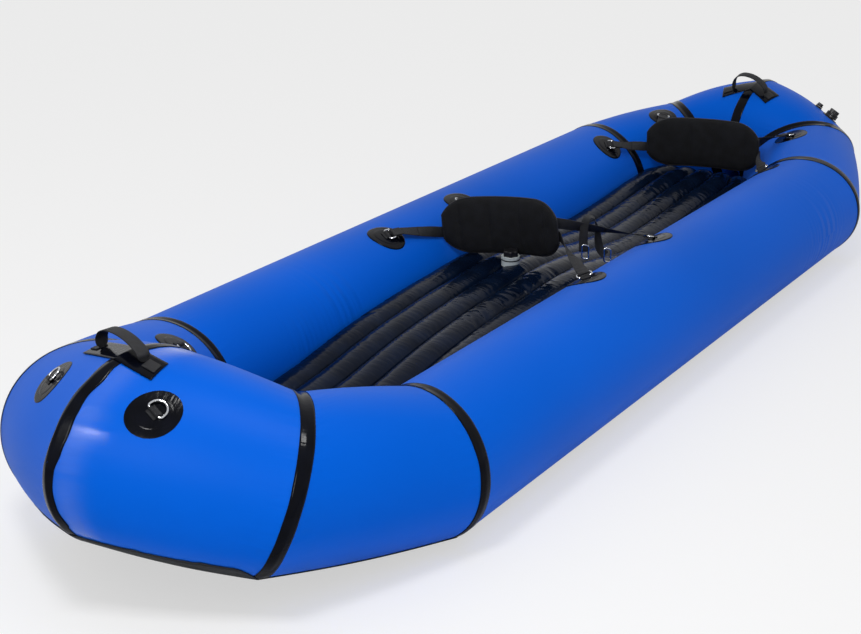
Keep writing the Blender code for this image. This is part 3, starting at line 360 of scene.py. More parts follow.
# Faint uneven shading, as in any large piece of coated cloth
faint_patches, patch_in, patch_out = shared_group(
    "faint_patches", {"Colour": "Color", "Size": "Float", "Depth": "Float"}, "Colour")
spots = node(faint_patches, "TexNoise", Vector=node(faint_patches, "TexCoord").outputs["Object"],
             Scale=patch_in["Size"], Detail=0.0)
amount = node(faint_patches, "MapRange", Value=spots.outputs[0], From_Min=0.3, From_Max=0.7, To_Min=-1.0,
              To_Max=1.0)
swing = maths(faint_patches, "MULTIPLY_ADD", amount.outputs[0], patch_in["Depth"], 1.0)
shaded = node(faint_patches, "HueSaturation", Color=patch_in["Colour"], Value=swing)
faint_patches.links.new(shaded.outputs[0], patch_out[0])

# Fine plain weave drawn from the flat layout, as a bumped normal
woven, weave_in, weave_out = shared_group(
    "woven", {"Thread": "Float", "Height": "Float", "Normal": "Vector"}, "Normal")
flat_axes = node(woven, "SeparateXYZ", Vector=node(woven, "UVMap", {"uv_map": "flat"}).outputs[0]).outputs
threads = [maths(woven, "SINE", maths(woven, "DIVIDE", flat_axes[axis], weave_in["Thread"]))
           for axis in (0, 1)]
crossing = maths(woven, "MULTIPLY", *threads)
weave_bump = node(woven, "Bump", Strength=1.0, Distance=weave_in["Height"], Height=crossing,
                  Normal=weave_in["Normal"])
woven.links.new(weave_bump.outputs[0], weave_out[0])


def group(tree, shared, **sockets):
    made = tree.nodes.new("ShaderNodeGroup")
    made.node_tree = shared
    return feed(tree, made, sockets).outputs[0]


def patchy_material(name, colour, size, depth, **levels):
    """A material in one colour with faint patches of the given fineness and depth."""
    material, tree, shader = plain_material(name, **levels)
    link(tree, group(tree, faint_patches, Colour=(*colour, 1), Size=size, Depth=depth), shader, "Base Color")
    return material, tree, shader


def streaks(tree, around, along, detail=1.0):
    """Uneven streaks on the flat layout, with this many to the metre around and along."""
    axes = node(tree, "SeparateXYZ", Vector=node(tree, "UVMap", {"uv_map": "flat"}).outputs[0]).outputs
    drawn = node(tree, "CombineXYZ", X=maths(tree, "MULTIPLY", axes[0], around),
                 Y=maths(tree, "MULTIPLY", axes[1], along))
    return node(tree, "TexNoise", Vector=drawn.outputs[0], Scale=1.0, Detail=detail).outputs[0]


def bump(tree, shader, height, distance, strength):
    raised = node(tree, "Bump", Strength=strength, Distance=distance, Height=height)
    link(tree, raised.outputs[0], shader, "Normal")


def kept_on_mesh(tree, name):
    return node(tree, "Attribute", {"attribute_name": name}).outputs["Fac"]


blue_skin, tree, shader = plain_material("blue_skin", Specular_IOR_Level=0.02, Roughness=0.44,
                                         Coat_Roughness=0.10)
# Painted sheen: the blue is painted paler and greyer where the skin turns edge-on to the camera, standing in
# for the pale room's reflection at grazing angles
facing = node(tree, "LayerWeight", Blend=0.35).outputs["Facing"]
grazing_sheen_paint = node(tree, "MapRange", Value=facing, From_Min=0.28, From_Max=0.95, To_Min=0.0, To_Max=0.7)
blue_and_painted_sheen = node(tree, "Mix", {"data_type": "RGBA"}, _0=grazing_sheen_paint.outputs[0], _6=(0.0008, 0.120, 0.71, 1),
              _7=(0.052, 0.145, 0.58, 1))
link(tree, group(tree, faint_patches, Colour=blue_and_painted_sheen.outputs[2], Size=3.0, Depth=0.05), shader, "Base Color")
# Crinkles run square to the welded seams and die out a hand's breadth from them
crinkles = maths(tree, "MULTIPLY", streaks(tree, 70.0, 9.0), kept_on_mesh(tree, "pucker"))
# Soft folds lie round the tube where the cloth is slack
folds = streaks(tree, 5.0, 62.0, detail=0.0)
skin_height = maths(tree, "MULTIPLY_ADD", folds, kept_on_mesh(tree, "slack"), crinkles)
bump(tree, shader, skin_height, 0.0060, 1.0)
# The bow panels have a glossier strip close to port of their centre tape
link(tree, kept_on_mesh(tree, "shine"), shader, "Coat Weight")

for side_name, side in SIDES.items():
    for tube, (near, far, _, rows) in TUBES.items():
        length = (far.centre - near.centre).length

        def tube_spread(u, v):
            angle = math.tau * u
            point, normal, _, turn = hull_skin(tube, v, angle, side)
            return point, normal, (u * turn.length * math.tau, v * length)

        bm = spread_grid(ROUND_STEPS, rows, tube_spread)
        pucker, slack, shine = (bm.verts.layers.float.new(name) for name in ("pucker", "slack", "shine"))
        for vert in bm.verts:
            from_seam = min(seam.distance(vert.co * Vector((side, 1, 1))) for seam in (near, far))
            vert[pucker] = PUCKER * math.exp(-from_seam / PUCKER_REACH)
            vert[slack] = max(math.exp(-((vert.co - Vector(spot)).length / width) ** 2)
                              for spot, width in SLACK_SPOTS)
            if tube == "bow_panel":
                vert[shine] = math.exp(-((vert.co.x - SHINE_AT) / SHINE_REACH) ** 2)
        skin = finish_piece(f"{tube}_{side_name}_skin", bm, blue_skin, "hull", f"{tube}_{side_name}")
        thicken(skin, FABRIC, -1.0)


# Seam tapes
# Strips of glossy black coated tape, welded over every joint between two tubes, half their width on each.
# Their edges wander a little.
TAPE_WIDTH = 0.027
TAPE_LIFT = 0.0005
TAPE_THICKNESS = 0.0006
TAPE_WANDER = 0.0012
TAPES = {"bow_centre_tape": ("bow_panel", "bow_panel"), "stern_centre_tape": ("stern_panel", "stern_panel"),
         "bow_seam_tape": ("bow_panel", "bow_corner"), "shoulder_tape": ("bow_corner", "side_tube"),
         "hip_tape": ("side_tube", "stern_corner"), "quarter_tape": ("stern_corner", "stern_panel")}

seam_tape, tree, shader = patchy_material("seam_tape", (0.0022, 0.0028, 0.0060), 30.0, 0.3,
                                          Roughness=0.14, Specular_IOR_Level=0.08, IOR=1.4)
bump(tree, shader, streaks(tree, 160.0, 45.0), 0.0005, 0.6)


def beside_seam(tubes, side, away, angle, lift):
    """A point away metres from a seam, square to it; the nearer tube is on its minus side."""
    near, far = tubes
    tube = far if away >= 0 else near
    if near == far:
        at = ORDER.index(near) // (len(ORDER) - 1)
        side = 1 if away >= 0 else -1
    else:
        at = 0 if away >= 0 else 1
    _, _, run, turn = hull_skin(tube, at, angle)
    square = (run - run.project(turn)).length
    return on_hull(tube, abs(at - abs(away) / square), angle, side, lift)


# How far the bow seam's left tape strays, and how the bow's centre tape strays, in metres by degrees
LEFT_BOW_SEAM_STRAY = 0.005
BOW_TAPE_STRAYS = ((0, -0.0026), (11, -0.0007), (22, 0.0056), (32, 0.0080), (44, 0.0052), (55, 0.0030),
                   (64, 0.0056), (76, 0.0), (334, 0.0030), (348, -0.0020), (360, -0.0026))


def stray(angle):
    degrees = math.degrees(angle) % 360
    for (near, before), (far, after) in zip(BOW_TAPE_STRAYS, BOW_TAPE_STRAYS[1:]):
        if near <= degrees <= far:
            part = (degrees - near) / (far - near)
            return before + (after - before) * part ** 2 * (3 - 2 * part) if far - near < 90 else 0.0
    return 0.0


def lay_tape(name, tubes, side):
    phase = len(name) * 1.7 + side

    def tape_spread(u, v):
        angle = math.tau * u
        wander = noise.noise(Vector((math.cos(angle) * 3 + phase, math.sin(angle) * 3, v * 2))) * TAPE_WANDER
        away = (v - 0.5) * TAPE_WIDTH + wander * (2 * v - 1) ** 2
        if name == "bow_centre_tape":
            away += stray(angle)
        elif name == "bow_seam_tape_left":
            away += LEFT_BOW_SEAM_STRAY
        point, normal = beside_seam(tubes, side, away, angle, TAPE_LIFT)
        return point, normal, (u, away)

    bm = spread_grid(ROUND_STEPS, 8, tape_spread)
    piece = finish_piece(f"{name}_strip", bm, seam_tape, "hull", name)
    thicken(piece, TAPE_THICKNESS)


for tape, tubes in TAPES.items():
    if tubes[0] == tubes[1]:
        lay_tape(tape, tubes, 1)
    else:
        for side_name, side in SIDES.items():
            lay_tape(f"{tape}_{side_name}", tubes, side)


# Floor sheet
# One heavy black sheet under the whole boat, welded to the outer flanks of the tubes. Its cut edge shows as
# an uneven dark line low down along the blue.
SHEET_THICKNESS = 0.0010
SHEET_LIFT = 0.0014
SHEET_EDGE_DEG = 303.0
SHEET_BOW_RISE_DEG = 20.0
SHEET_BOTTOM_DEG = 270.0
SHEET_WANDER_DEG = 2.2
SHEET_STEPS = 24

coated_sheet, tree, shader = patchy_material("coated_sheet", (0.011, 0.013, 0.017), 14.0, 0.25,
                                             Roughness=0.42, Specular_IOR_Level=0.2)
sheet_dents = node(tree, "TexNoise", Vector=node(tree, "TexCoord").outputs["Object"], Scale=40.0, Detail=1.0)
bump(tree, shader, sheet_dents.outputs[0], 0.0012, 0.6)

sheet_runs = [(tube, k / SHEET_STEPS) for tube in ORDER for k in range(SHEET_STEPS)] + [("stern_panel", 1.0)]


def sheet_spread(u, v):
    """Down the starboard flank, straight across under the floor and up the port flank."""
    tube, share = sheet_runs[round(v * (len(sheet_runs) - 1))]
    side = 1 if u >= 0.5 else -1
    out = abs(2 * u - 1)
    wrap = max(0.0, (out - 0.5) * 2)
    edge = SHEET_EDGE_DEG + SHEET_WANDER_DEG * noise.noise(Vector((v * 70, side * 5, 0)))
    if tube == "bow_panel":
        edge += SHEET_BOW_RISE_DEG * math.sin(math.pi / 2 * min(1.0, (1 - share) * 6))
    angle = math.radians(SHEET_BOTTOM_DEG + (edge - SHEET_BOTTOM_DEG) * wrap)
    point, normal = on_hull(tube, share, angle, side, SHEET_LIFT)
    if not wrap:
        point = point * Vector((out * 2, 1, 1))
    return point, normal, (point.x + side * wrap * 0.1, point.y)


bm = spread_grid(44, len(sheet_runs) - 1, sheet_spread)
bottom_sheet = finish_piece("bottom_sheet", bm, coated_sheet, "hull", "floor_sheet")
thicken(bottom_sheet, SHEET_THICKNESS)


# Inflatable floor
# A removable air mattress that fills the well: five lengthwise chambers side by side in glossy coated cloth.
# It stands highest under the front seat, and its cloth gathers into crosswise creases along every chamber.
CHAMBERS = 5
FLOOR_THICKNESS = 0.086
FLOOR_CROWN = 0.004
RIB_SWELL = 0.016
FLOOR_START = -0.8776
FLOOR_FINISH = 0.9631
FLOOR_END_ROUND = 0.055
FLOOR_SIDE_ROUND = 0.006
FLOOR_SHARES = (0.0, 0.12, 0.22, 0.314, 0.40, 0.466, 0.542, 0.62, 0.721, 0.82, 0.912, 1.0)
FLOOR_HEIGHTS = (0.124, 0.143, 0.171, 0.187, 0.1945, 0.199, 0.190, 0.166, 0.148, 0.1535, 0.167, 0.175)
WELL_ROOM = 0.0012
CREASE_DEPTH = 0.0058
LEAST_CREASE = 0.08
# The share of a lap round the floor that its upper skin takes, and how near its round ends come to a point
ARC_TOP_SHARE = 0.74
END_CUT_SHARE = 0.993


def well_half_width(y):
    """Half the clear width between the tubes at their innermost line."""
    tube = next((tube for tube in ("bow_corner", "side_tube") if y <= TUBES[tube][1].point(math.pi).y),
                "stern_corner")
    near, far, swell, _ = TUBES[tube]
    start, stop = near.point(math.pi), far.point(math.pi)
    share = (y - start.y) / (stop.y - start.y)
    swell *= (stop - start).length / (far.point(0) - near.point(0)).length
    return start.lerp(stop, share).x - swell * math.sin(math.pi * min(1, max(0, share))) - WELL_ROOM


def floor_valley_height(y):
    share = min(1.0, max(0.0, (y - FLOOR_START) / (FLOOR_FINISH - FLOOR_START)))
    for k in range(len(FLOOR_SHARES) - 1):
        if share <= FLOOR_SHARES[k + 1]:
            part = (share - FLOOR_SHARES[k]) / (FLOOR_SHARES[k + 1] - FLOOR_SHARES[k])
            before = FLOOR_HEIGHTS[max(0, k - 1)]
            low, high = FLOOR_HEIGHTS[k], FLOOR_HEIGHTS[k + 1]
            after = FLOOR_HEIGHTS[min(len(FLOOR_HEIGHTS) - 1, k + 2)]
            bend = (high - before) * 0.5 * part * (1 - part) ** 2
            bend -= (after - low) * 0.5 * part ** 2 * (1 - part)
            return low + (high - low) * part ** 2 * (3 - 2 * part) + bend
    return FLOOR_HEIGHTS[-1]


def floor_top(x, y):
    """Height of the floor's upper skin without its creases."""
    across = max(-1.0, min(1.0, x / well_half_width(y)))
    chamber = (across + 1) / 2 * CHAMBERS
    local = 2 * (chamber - min(CHAMBERS - 1, math.floor(chamber))) - 1
    swell = RIB_SWELL * math.sqrt(max(0.0, 1 - local ** 2))
    return floor_valley_height(y) + FLOOR_CROWN * (1 - across ** 2) + swell


def floor_creases(across, y):
    """Gathers of the cloth: a herringbone along the outer chamber at the bow, crosswise ones elsewhere."""
    chamber = min(CHAMBERS - 1, math.floor((across + 1) / 2 * CHAMBERS))
    local = (across + 1) / 2 * CHAMBERS - chamber
    slant = (local - 0.5) * 0.05 * (1.6 if chamber == 0 else 0.8)
    waver = noise.noise(Vector((chamber * 7.3, y * 9, local * 2))) * 0.02
    gather = noise.noise(Vector(((y + abs(slant) + waver) * 62, chamber * 3.1, local * 0.9)))
    strength = 0.32 + 0.6 * noise.noise(Vector((y * 3.1, chamber * 5.7, 2.0)))
    # The cloth bunches at the bow to starboard, beside the front seat to port, and a little towards the stern
    if chamber == 0 and y < -0.3:
        strength = 1.1
    if chamber == 3 and -0.35 < y < 0.0:
        strength = 1.2
    if y > 0.15:
        strength += 0.25
    valley = 1 - (2 * local - 1) ** 2
    return -abs(gather) * CREASE_DEPTH * max(LEAST_CREASE, strength) * (1.0 - 0.55 * valley)


floor_cloth, tree, shader = patchy_material("floor_cloth", (0.0018, 0.0060, 0.0190), 22.0, 0.25,
                                            Roughness=0.16, Specular_IOR_Level=0.10, IOR=1.4)
bump(tree, shader, streaks(tree, 22.0, 120.0), 0.0011, 0.8)


def floor_spread(u, v):
    """One lap round the floor's section for u, its length from bow to stern for v."""
    reach = FLOOR_END_ROUND * END_CUT_SHARE
    y = FLOOR_START - reach + (FLOOR_FINISH - FLOOR_START + 2 * reach) * v
    past = max(FLOOR_START - y, y - FLOOR_FINISH, 0.0)
    fullness = math.sqrt(1 - (past / FLOOR_END_ROUND) ** 2)
    steady_y = min(FLOOR_FINISH, max(FLOOR_START, y))
    half = well_half_width(steady_y)
    upper = u < ARC_TOP_SHARE
    across = u / ARC_TOP_SHARE * 2 - 1 if upper else 1 - (u - ARC_TOP_SHARE) / (1 - ARC_TOP_SHARE) * 2
    chamber = (across + 1) / 2 * CHAMBERS
    whole = min(CHAMBERS - 1, math.floor(chamber))
    local = chamber - whole
    if upper:
        local = 0.5 - 0.5 * math.cos(math.pi * local)
    across = (whole + local) / CHAMBERS * 2 - 1
    rounded = 1 - FLOOR_SIDE_ROUND / half
    drop = FLOOR_SIDE_ROUND * max(0.0, (abs(across) - rounded) / (1 - rounded)) ** 2
    top = floor_top(half * across * 0.99999, steady_y) - drop
    middle = floor_valley_height(steady_y) + FLOOR_CROWN * (1 - across ** 2) - FLOOR_THICKNESS / 2
    z = top + floor_creases(across, y) if upper else 2 * middle - top
    heart = floor_valley_height(steady_y) - FLOOR_THICKNESS / 2
    z = heart + (z - heart) * fullness
    x = half * across * (1 - FLOOR_END_ROUND / half * (1 - fullness))
    return Vector((x, y, z)), UP if upper else -UP, (x if upper else x + 1, y)


bm = spread_grid(120, 460, floor_spread)
close_ends(bm)
air_floor = finish_piece("air_floor", bm, floor_cloth, "hull", "floor_mat")


# Valves
# Moulded air valves: a welded flange with a threaded neck, and a cap with a six-lobed knob that turns on it.
# The floor's valve has two pale grey rings below its black knob, with a thin black gasket between them.
VALVE_FLANGE = 0.029
VALVE_NECK = 0.0215
VALVE_NECK_HEIGHT = 0.009
VALVE_CAP_HEIGHT = 0.008
VALVE_KNOB = 0.0165
VALVE_KNOB_HEIGHT = 0.013
VALVE_LOBES = 6
VALVE_GAP = 0.0003
LOBE_SWING = 0.09
FLOOR_VALVE_TOP = 0.22776
GASKET_DROP = 0.0016
GASKET_RISE = 0.0014
GASKET_EDGE = 0.0002
PATCH_LIFT = 0.0009
PATCH_THICKNESS = 0.0011

valve_black, _, _ = patchy_material("valve_black", (0.006, 0.006, 0.008), 60.0, 0.15,
                                    Roughness=0.36, Specular_IOR_Level=0.3)
valve_grey, _, _ = patchy_material("valve_grey", (0.50, 0.55, 0.54), 60.0, 0.05, Roughness=0.38)


def turned(profile, point, axis, lobed_from=None):
    """A profile of (radius, height) spun about an axis; above lobed_from it has the knob's lobes."""
    bm = bmesh.new()
    line = [bm.verts.new((radius, 0, height)) for radius, height in profile]
    edges = [bm.edges.new(pair) for pair in zip(line, line[1:])]
    bmesh.ops.spin(bm, geom=line + edges, cent=(0, 0, 0), axis=(0, 0, 1), angle=math.tau, steps=72,
                   use_merge=True, use_duplicate=False)
    bmesh.ops.remove_doubles(bm, verts=bm.verts, dist=WELD_GAP)
    bmesh.ops.recalc_face_normals(bm, faces=bm.faces)
    for vert in bm.verts:
        if lobed_from is not None and vert.co.z > lobed_from:
            swing = 1 + LOBE_SWING * math.cos(VALVE_LOBES * math.atan2(vert.co.y, vert.co.x))
            vert.co.x *= swing
            vert.co.y *= swing
    turn = UP.rotation_difference(axis).to_matrix().to_4x4()
    bm.transform(Matrix.Translation(point) @ turn)
    return bm


def join_into(bm, other):
    """Add a second bmesh to the first."""
    carried = bpy.data.meshes.new("carried")
    other.to_mesh(carried)
    other.free()
    bm.from_mesh(carried)
    bpy.data.meshes.remove(carried)


def valve_profiles(size, base):
    neck = VALVE_NECK * size
    neck_top = VALVE_NECK_HEIGHT * size + PATCH_THICKNESS
    low = neck_top + VALVE_GAP
    rim = low + VALVE_CAP_HEIGHT * size
    top = rim + VALVE_KNOB_HEIGHT * size
    knob = VALVE_KNOB * size
    edge = 0.0010 * size
    body = [(0, base), (neck, base), (neck, neck_top - edge), (neck - edge * 0.3, neck_top - edge * 0.3),
            (neck - edge, neck_top), (0, neck_top)]
    groove = (low + rim) / 2
    cap = [(0, low), (neck - edge, low), (neck - edge * 0.3, low + edge * 0.3), (neck, low + edge),
           (neck, groove - edge), (neck - edge, groove - edge * 0.5), (neck - edge, groove + edge * 0.5),
           (neck, groove + edge), (neck, rim - edge), (neck - edge * 0.3, rim - edge * 0.3),
           (neck - edge, rim), (knob, rim + edge * 0.2), (knob, top - edge * 2),
           (knob - edge * 0.6, top - edge * 0.6),
           (knob - edge * 2, top), (knob * 0.4, top - edge * 1.2), (0, top - edge * 1.2)]
    return body, cap, low, rim


def flange(place, radius):
    """A thin round disc that follows the tube."""
    def flange_spread(u, v):
        angle = math.tau * u
        edge = max(0.0, v - 0.96) / 0.04
        reach = radius * min(1.0, v / 0.98)
        point, normal = place.at(reach * math.cos(angle), reach * math.sin(angle),
                                 PATCH_LIFT + PATCH_THICKNESS * (1 - edge ** 2))
        return point, normal, (reach * math.cos(angle), reach * math.sin(angle))

    return spread_grid(64, 16, flange_spread)


HULL_VALVES = {"main": (Place("stern_panel", 0.22, 50.0), 0.8),
               "oral": (Place("stern_panel", 0.38, 53.0), 0.45)}
for prefix, (place, size) in HULL_VALVES.items():
    body_line, cap_line, _, rim = valve_profiles(size, PATCH_LIFT * 2)
    bm = turned(body_line, place.point, place.normal)
    join_into(bm, flange(place, VALVE_FLANGE * size))
    finish_piece(f"{prefix}_valve_base", bm, valve_black, "hull", f"{prefix}_valve_body", smooth=False)
    bm = turned(cap_line, place.point, place.normal, lobed_from=rim)
    cap = f"{prefix}_valve_cap"
    finish_piece(f"{prefix}_valve_knob", bm, valve_black, cap, cap, smooth=False)

FLOOR_VALVE_AT = Vector((-0.018, -0.0235, 0))
FLOOR_VALVE_AT.z = FLOOR_VALVE_TOP - VALVE_NECK_HEIGHT - PATCH_THICKNESS - VALVE_GAP
body_line, cap_line, low, rim = valve_profiles(1.0, -0.004)
bm = turned(body_line, FLOOR_VALVE_AT, UP)
finish_piece("floor_valve_base", bm, valve_grey, "hull", "mat_valve_body", smooth=False)
bm = turned(cap_line[:10] + [(VALVE_KNOB, rim - 0.0004), (0, rim - 0.0004)], FLOOR_VALVE_AT, UP)
finish_piece("floor_valve_ring", bm, valve_grey, "mat_valve_cap", smooth=False)
around = VALVE_NECK + GASKET_EDGE
bm = turned([(0, low - GASKET_DROP), (around, low - GASKET_DROP), (around, low + GASKET_RISE),
             (0, low + GASKET_RISE)], FLOOR_VALVE_AT, UP)
finish_piece("floor_valve_gasket", bm, valve_black, "hull", smooth=False)
bm = turned([(0, rim - 0.0008)] + cap_line[11:], FLOOR_VALVE_AT, UP, lobed_from=rim)
finish_piece("floor_valve_knob", bm, valve_black, "mat_valve_cap", "mat_valve_cap", smooth=False)


# Lashing patches, tabs and rings
# Round black patches welded on the blue, each with a raised boss and a folded webbing tab that holds a bent
# steel ring: three D-rings on the bow for lashing gear, eight oblong rings for the backrests' straps.
PATCH_RADIUS = 0.045
BOSS_RADIUS = 0.029
BOSS_RISE = 0.0006
DISC_EDGE_DROP = 0.0006
DISC_EDGE_ROUND = 0.0008
DISC_WANDER = 0.006
TAB_HALF_WIDTH = 0.0112
TAB_HALF_LENGTH = 0.0095
TAB_WALL = 0.0012
RING_WIRE = 0.0020
RING_PLAY = 0.0004
RING_HALF_WIDTH = 0.0160
RING_CORNER = 0.0035
D_RING_LEG = 0.0080
STRAP_RING_REACH = 0.0150
BAR_HEIGHT = PATCH_LIFT + PATCH_THICKNESS + BOSS_RISE + RING_WIRE + RING_PLAY + TAB_WALL

bent_steel, _, _ = patchy_material("bent_steel", (0.42, 0.43, 0.45), 90.0, 0.12, Metallic=1.0, Roughness=0.14)
webbing, tree, shader = patchy_material("webbing", (0.0050, 0.0056, 0.0085), 120.0, 0.3,
                                        Roughness=0.6, Specular_IOR_Level=0.2)
link(tree, group(tree, woven, Thread=0.00042, Height=0.00022), shader, "Normal")


def disc_lift(reach):
    """Height of a patch's top over the skin at a distance from its middle."""
    boss = min(1.0, max(0.0, (BOSS_RADIUS + BOSS_RISE * 2 - reach) / (BOSS_RISE * 3)))
    rim = min(1.0, max(0.0, (PATCH_RADIUS - reach) / DISC_EDGE_ROUND))
    edge = (PATCH_THICKNESS + DISC_EDGE_DROP) * math.sqrt(rim)
    return PATCH_LIFT - DISC_EDGE_DROP + edge + BOSS_RISE * boss ** 2 * (3 - 2 * boss)


def disc(place):
    stops = [0, 0.25, 0.5, 0.62, 0.64, 0.65, 0.66, 0.67, 0.68, 0.8, 0.93, 0.985, 0.992, 0.997, 1.0]

    def disc_spread(u, v):
        angle = math.tau * u
        reach = PATCH_RADIUS * stops[round(v * (len(stops) - 1))]
        spot = Vector((math.cos(angle) * 2, math.sin(angle) * 2, place.share * 9))
        wander = 1 + DISC_WANDER * noise.noise(spot)
        along, around = reach * math.cos(angle) * wander, reach * math.sin(angle) * wander
        point, normal = place.at(along, around, disc_lift(reach))
        return point, normal, (along, around)

    return spread_grid(80, len(stops) - 1, disc_spread)


def tab(place, bar):
    """A strip of webbing folded over the ring's bar, its two ends sewn down on the boss."""
    reach = bar.cross(place.normal).normalized()
    arch = RING_WIRE + RING_PLAY + TAB_WALL / 2
    foot = PATCH_LIFT + PATCH_THICKNESS + BOSS_RISE + TAB_WALL / 2 - BAR_HEIGHT
    line = [(-TAB_HALF_LENGTH, foot), (-TAB_HALF_LENGTH * 0.75, foot), (-arch * 1.25, foot)]
    line += [(-arch * math.cos(a), arch * math.sin(a)) for a in [math.pi * k / 10 for k in range(11)]]
    line += [(-u, v) for u, v in reversed(line[:3])]
    centre = place.point + place.normal * BAR_HEIGHT

    def tab_spread(u, v):
        along, lift = line[round(u * (len(line) - 1))]
        shift = (v * 2 - 1) * TAB_HALF_WIDTH
        point = centre + reach * along + place.normal * lift + bar * shift
        return point, place.normal, (u * 0.03, shift)

    return spread_grid(len(line) - 1, 6, tab_spread)


def wire(outline, centre, bar, reach, radius=RING_WIRE):
    """A bent closed wire as a mesh, from corner points in the plane of bar and reach."""
    path = bpy.data.curves.new("wire", "CURVE")
    path.dimensions = "3D"
    path.bevel_depth = radius
    path.bevel_resolution = 4
    path.resolution_u = 6
    spline = path.splines.new("BEZIER")
    spline.bezier_points.add(len(outline) - 1)
    spline.use_cyclic_u = True
    points = [centre + bar * u + reach * v for u, v in outline]
    for k, knot in enumerate(spline.bezier_points):
        knot.co = points[k]
        ahead = points[(k + 1) % len(points)]
        behind = points[k - 1]
        along = (ahead - behind).normalized()
        knot.handle_left = points[k] - along * (points[k] - behind).length / 3
        knot.handle_right = points[k] + along * (ahead - points[k]).length / 3
    carrier = bpy.data.objects.new("wire", path)
    scene.collection.objects.link(carrier)
    made = bpy.data.meshes.new_from_object(carrier)
    bpy.data.objects.remove(carrier)
    bpy.data.curves.remove(path)
    bm = bmesh.new()
    bm.from_mesh(made)
    bpy.data.meshes.remove(made)
    return bm


def d_outline():
    half = RING_HALF_WIDTH
    outline = [(-half + RING_CORNER, 0), (0, 0), (half - RING_CORNER, 0), (half, RING_CORNER)]
    turns = [math.pi * k / 10 for k in range(11)]
    outline += [(half * math.cos(angle), D_RING_LEG + half * math.sin(angle)) for angle in turns]
    return outline + [(-half, RING_CORNER)]


def oblong_outline():
    half, far = RING_HALF_WIDTH, STRAP_RING_REACH
    right = [(0, 0), (half - RING_CORNER, 0), (half, RING_CORNER), (half, far / 2), (half, far - RING_CORNER),
             (half - RING_CORNER, far), (0, far)]
    return right + [(-u, v) for u, v in reversed(right[1:-1])]


def lay_patch(name, place, bar):
    finish_piece(f"{name}_disc", disc(place), seam_tape, "hull", name)
    folded = finish_piece(f"{name}_tab", tab(place, bar), webbing, "hull")
    thicken(folded, TAB_WALL, 0.0)


BOW_RINGS = {"bow_right": (Place("bow_panel", 0.34, 51.5, 1), 60.0),
             "bow_left": (Place("bow_panel", 0.42, 51.5, -1), 100.0),
             "bow_inner": (Place("bow_corner", 0.50, 128.0, -1), 100.0)}
for name, (place, reach_deg) in BOW_RINGS.items():
    angle = math.radians(reach_deg)
    reach = (place.run * math.cos(angle) + place.turn * math.sin(angle)).normalized()
    bar = place.normal.cross(reach).normalized()
    lay_patch(f"{name}_patch", place, bar)
    centre = place.point + place.normal * BAR_HEIGHT
    ring = f"{name}_ring"
    finish_piece(f"{name}_wire", wire(d_outline(), centre, bar, reach), bent_steel, ring, ring)


# Backrest pads
# Two foam pads in black woven covers, arched round the paddler, each with four sewn channels and a bound
# edge. Each cover is blown out over its foam by a short cloth simulation, held down along the channels.
PAD_HALF_WIDTH = 0.153
PAD_HALF_HEIGHT = 0.066
PAD_END_SHARE = 0.42
PAD_STRAIGHT_SHARE = 0.5
PAD_CORNER_POWER = 2.4
PAD_THICKNESS = 0.028
PAD_RIM = 0.005
PAD_SAG = 0.036
PAD_CHANNELS = (-0.74, -0.27, 0.27, 0.74)
PAD_CHANNEL_DEPTH = 0.0048
PAD_CHANNEL_HALF_WIDTH = 0.006
PAD_BINDING = 0.0026
PAD_CROWN_POWERS = (3.2, 6.0, 0.6)
PUFF_MESH = 0.0042
PUFF_PRESSURE = 3.2
PUFF_STEPS = 20
PUFF_LIMIT = 0.006
PUFF_HELD_CHANNEL = 0.0035
PUFF_HELD_RIM = 0.94
PUFF_HELD_END = 0.975

pad_cover, tree, shader = patchy_material("pad_cover", (0.0040, 0.0044, 0.0058), 45.0, 0.35,
                                          Roughness=0.86, Specular_IOR_Level=0.15)
grain = node(tree, "TexVoronoi", Vector=node(tree, "TexCoord").outputs["Object"], Scale=620.0)
bump(tree, shader, grain.outputs["Distance"], 0.0006, 0.9)


def pad_half_height(u):
    corner = max(0.0, abs(u) - PAD_STRAIGHT_SHARE) / (1 - PAD_STRAIGHT_SHARE)
    return PAD_HALF_HEIGHT * math.sqrt(1 - (1 - PAD_END_SHARE ** 2) * corner ** PAD_CORNER_POWER)


def pad_half_depth(u, v):
    upright, lengthwise, whole = PAD_CROWN_POWERS
    crown = ((1 - abs(v) ** upright) * (1 - abs(u) ** lengthwise)) ** whole
    nearest = min(abs(u - seam) for seam in PAD_CHANNELS) * PAD_HALF_WIDTH
    groove = max(0.0, 1 - nearest / PAD_CHANNEL_HALF_WIDTH)
    return PAD_RIM / 2 + max(0.0, (PAD_THICKNESS - PAD_RIM) / 2 * crown - PAD_CHANNEL_DEPTH * groove * crown)


class Backrest:
    """One pad's own frame: level and across along it, back through it and up over it."""

    def __init__(self, name, middle, turn_deg, drop_deg):
        self.name = name
        turn = math.radians(turn_deg)
        drop = math.radians(drop_deg)
        self.level = Vector((math.cos(turn), math.sin(turn), 0))
        self.across = self.level * math.cos(drop) + UP * math.sin(drop)
        self.back = UP.cross(self.level)
        self.up = self.across.cross(self.back)
        self.middle = Vector(middle)

    def line(self, u, height, depth=0.0):
        """A point on the arched middle surface, u from -1 to 1 along it, moved back by depth."""
        back = self.back * (depth - PAD_SAG * u * u)
        return self.middle + self.across * PAD_HALF_WIDTH * u + self.up * height + back


def pad_spread(rest):
    def spread(u, v):
        along = math.sin((u - 0.5) * math.pi * 0.998)
        climb = math.cos(math.tau * v)
        backwards = max(-1.0, min(1.0, -math.sin(math.tau * v) / 0.12))
        height = pad_half_height(along) * climb
        point = rest.line(along, height, backwards * pad_half_depth(along, climb * 0.9999))
        return point, rest.back * (backwards or 1), (along * PAD_HALF_WIDTH, height + (0 if v < 0.5 else 1))
    return spread


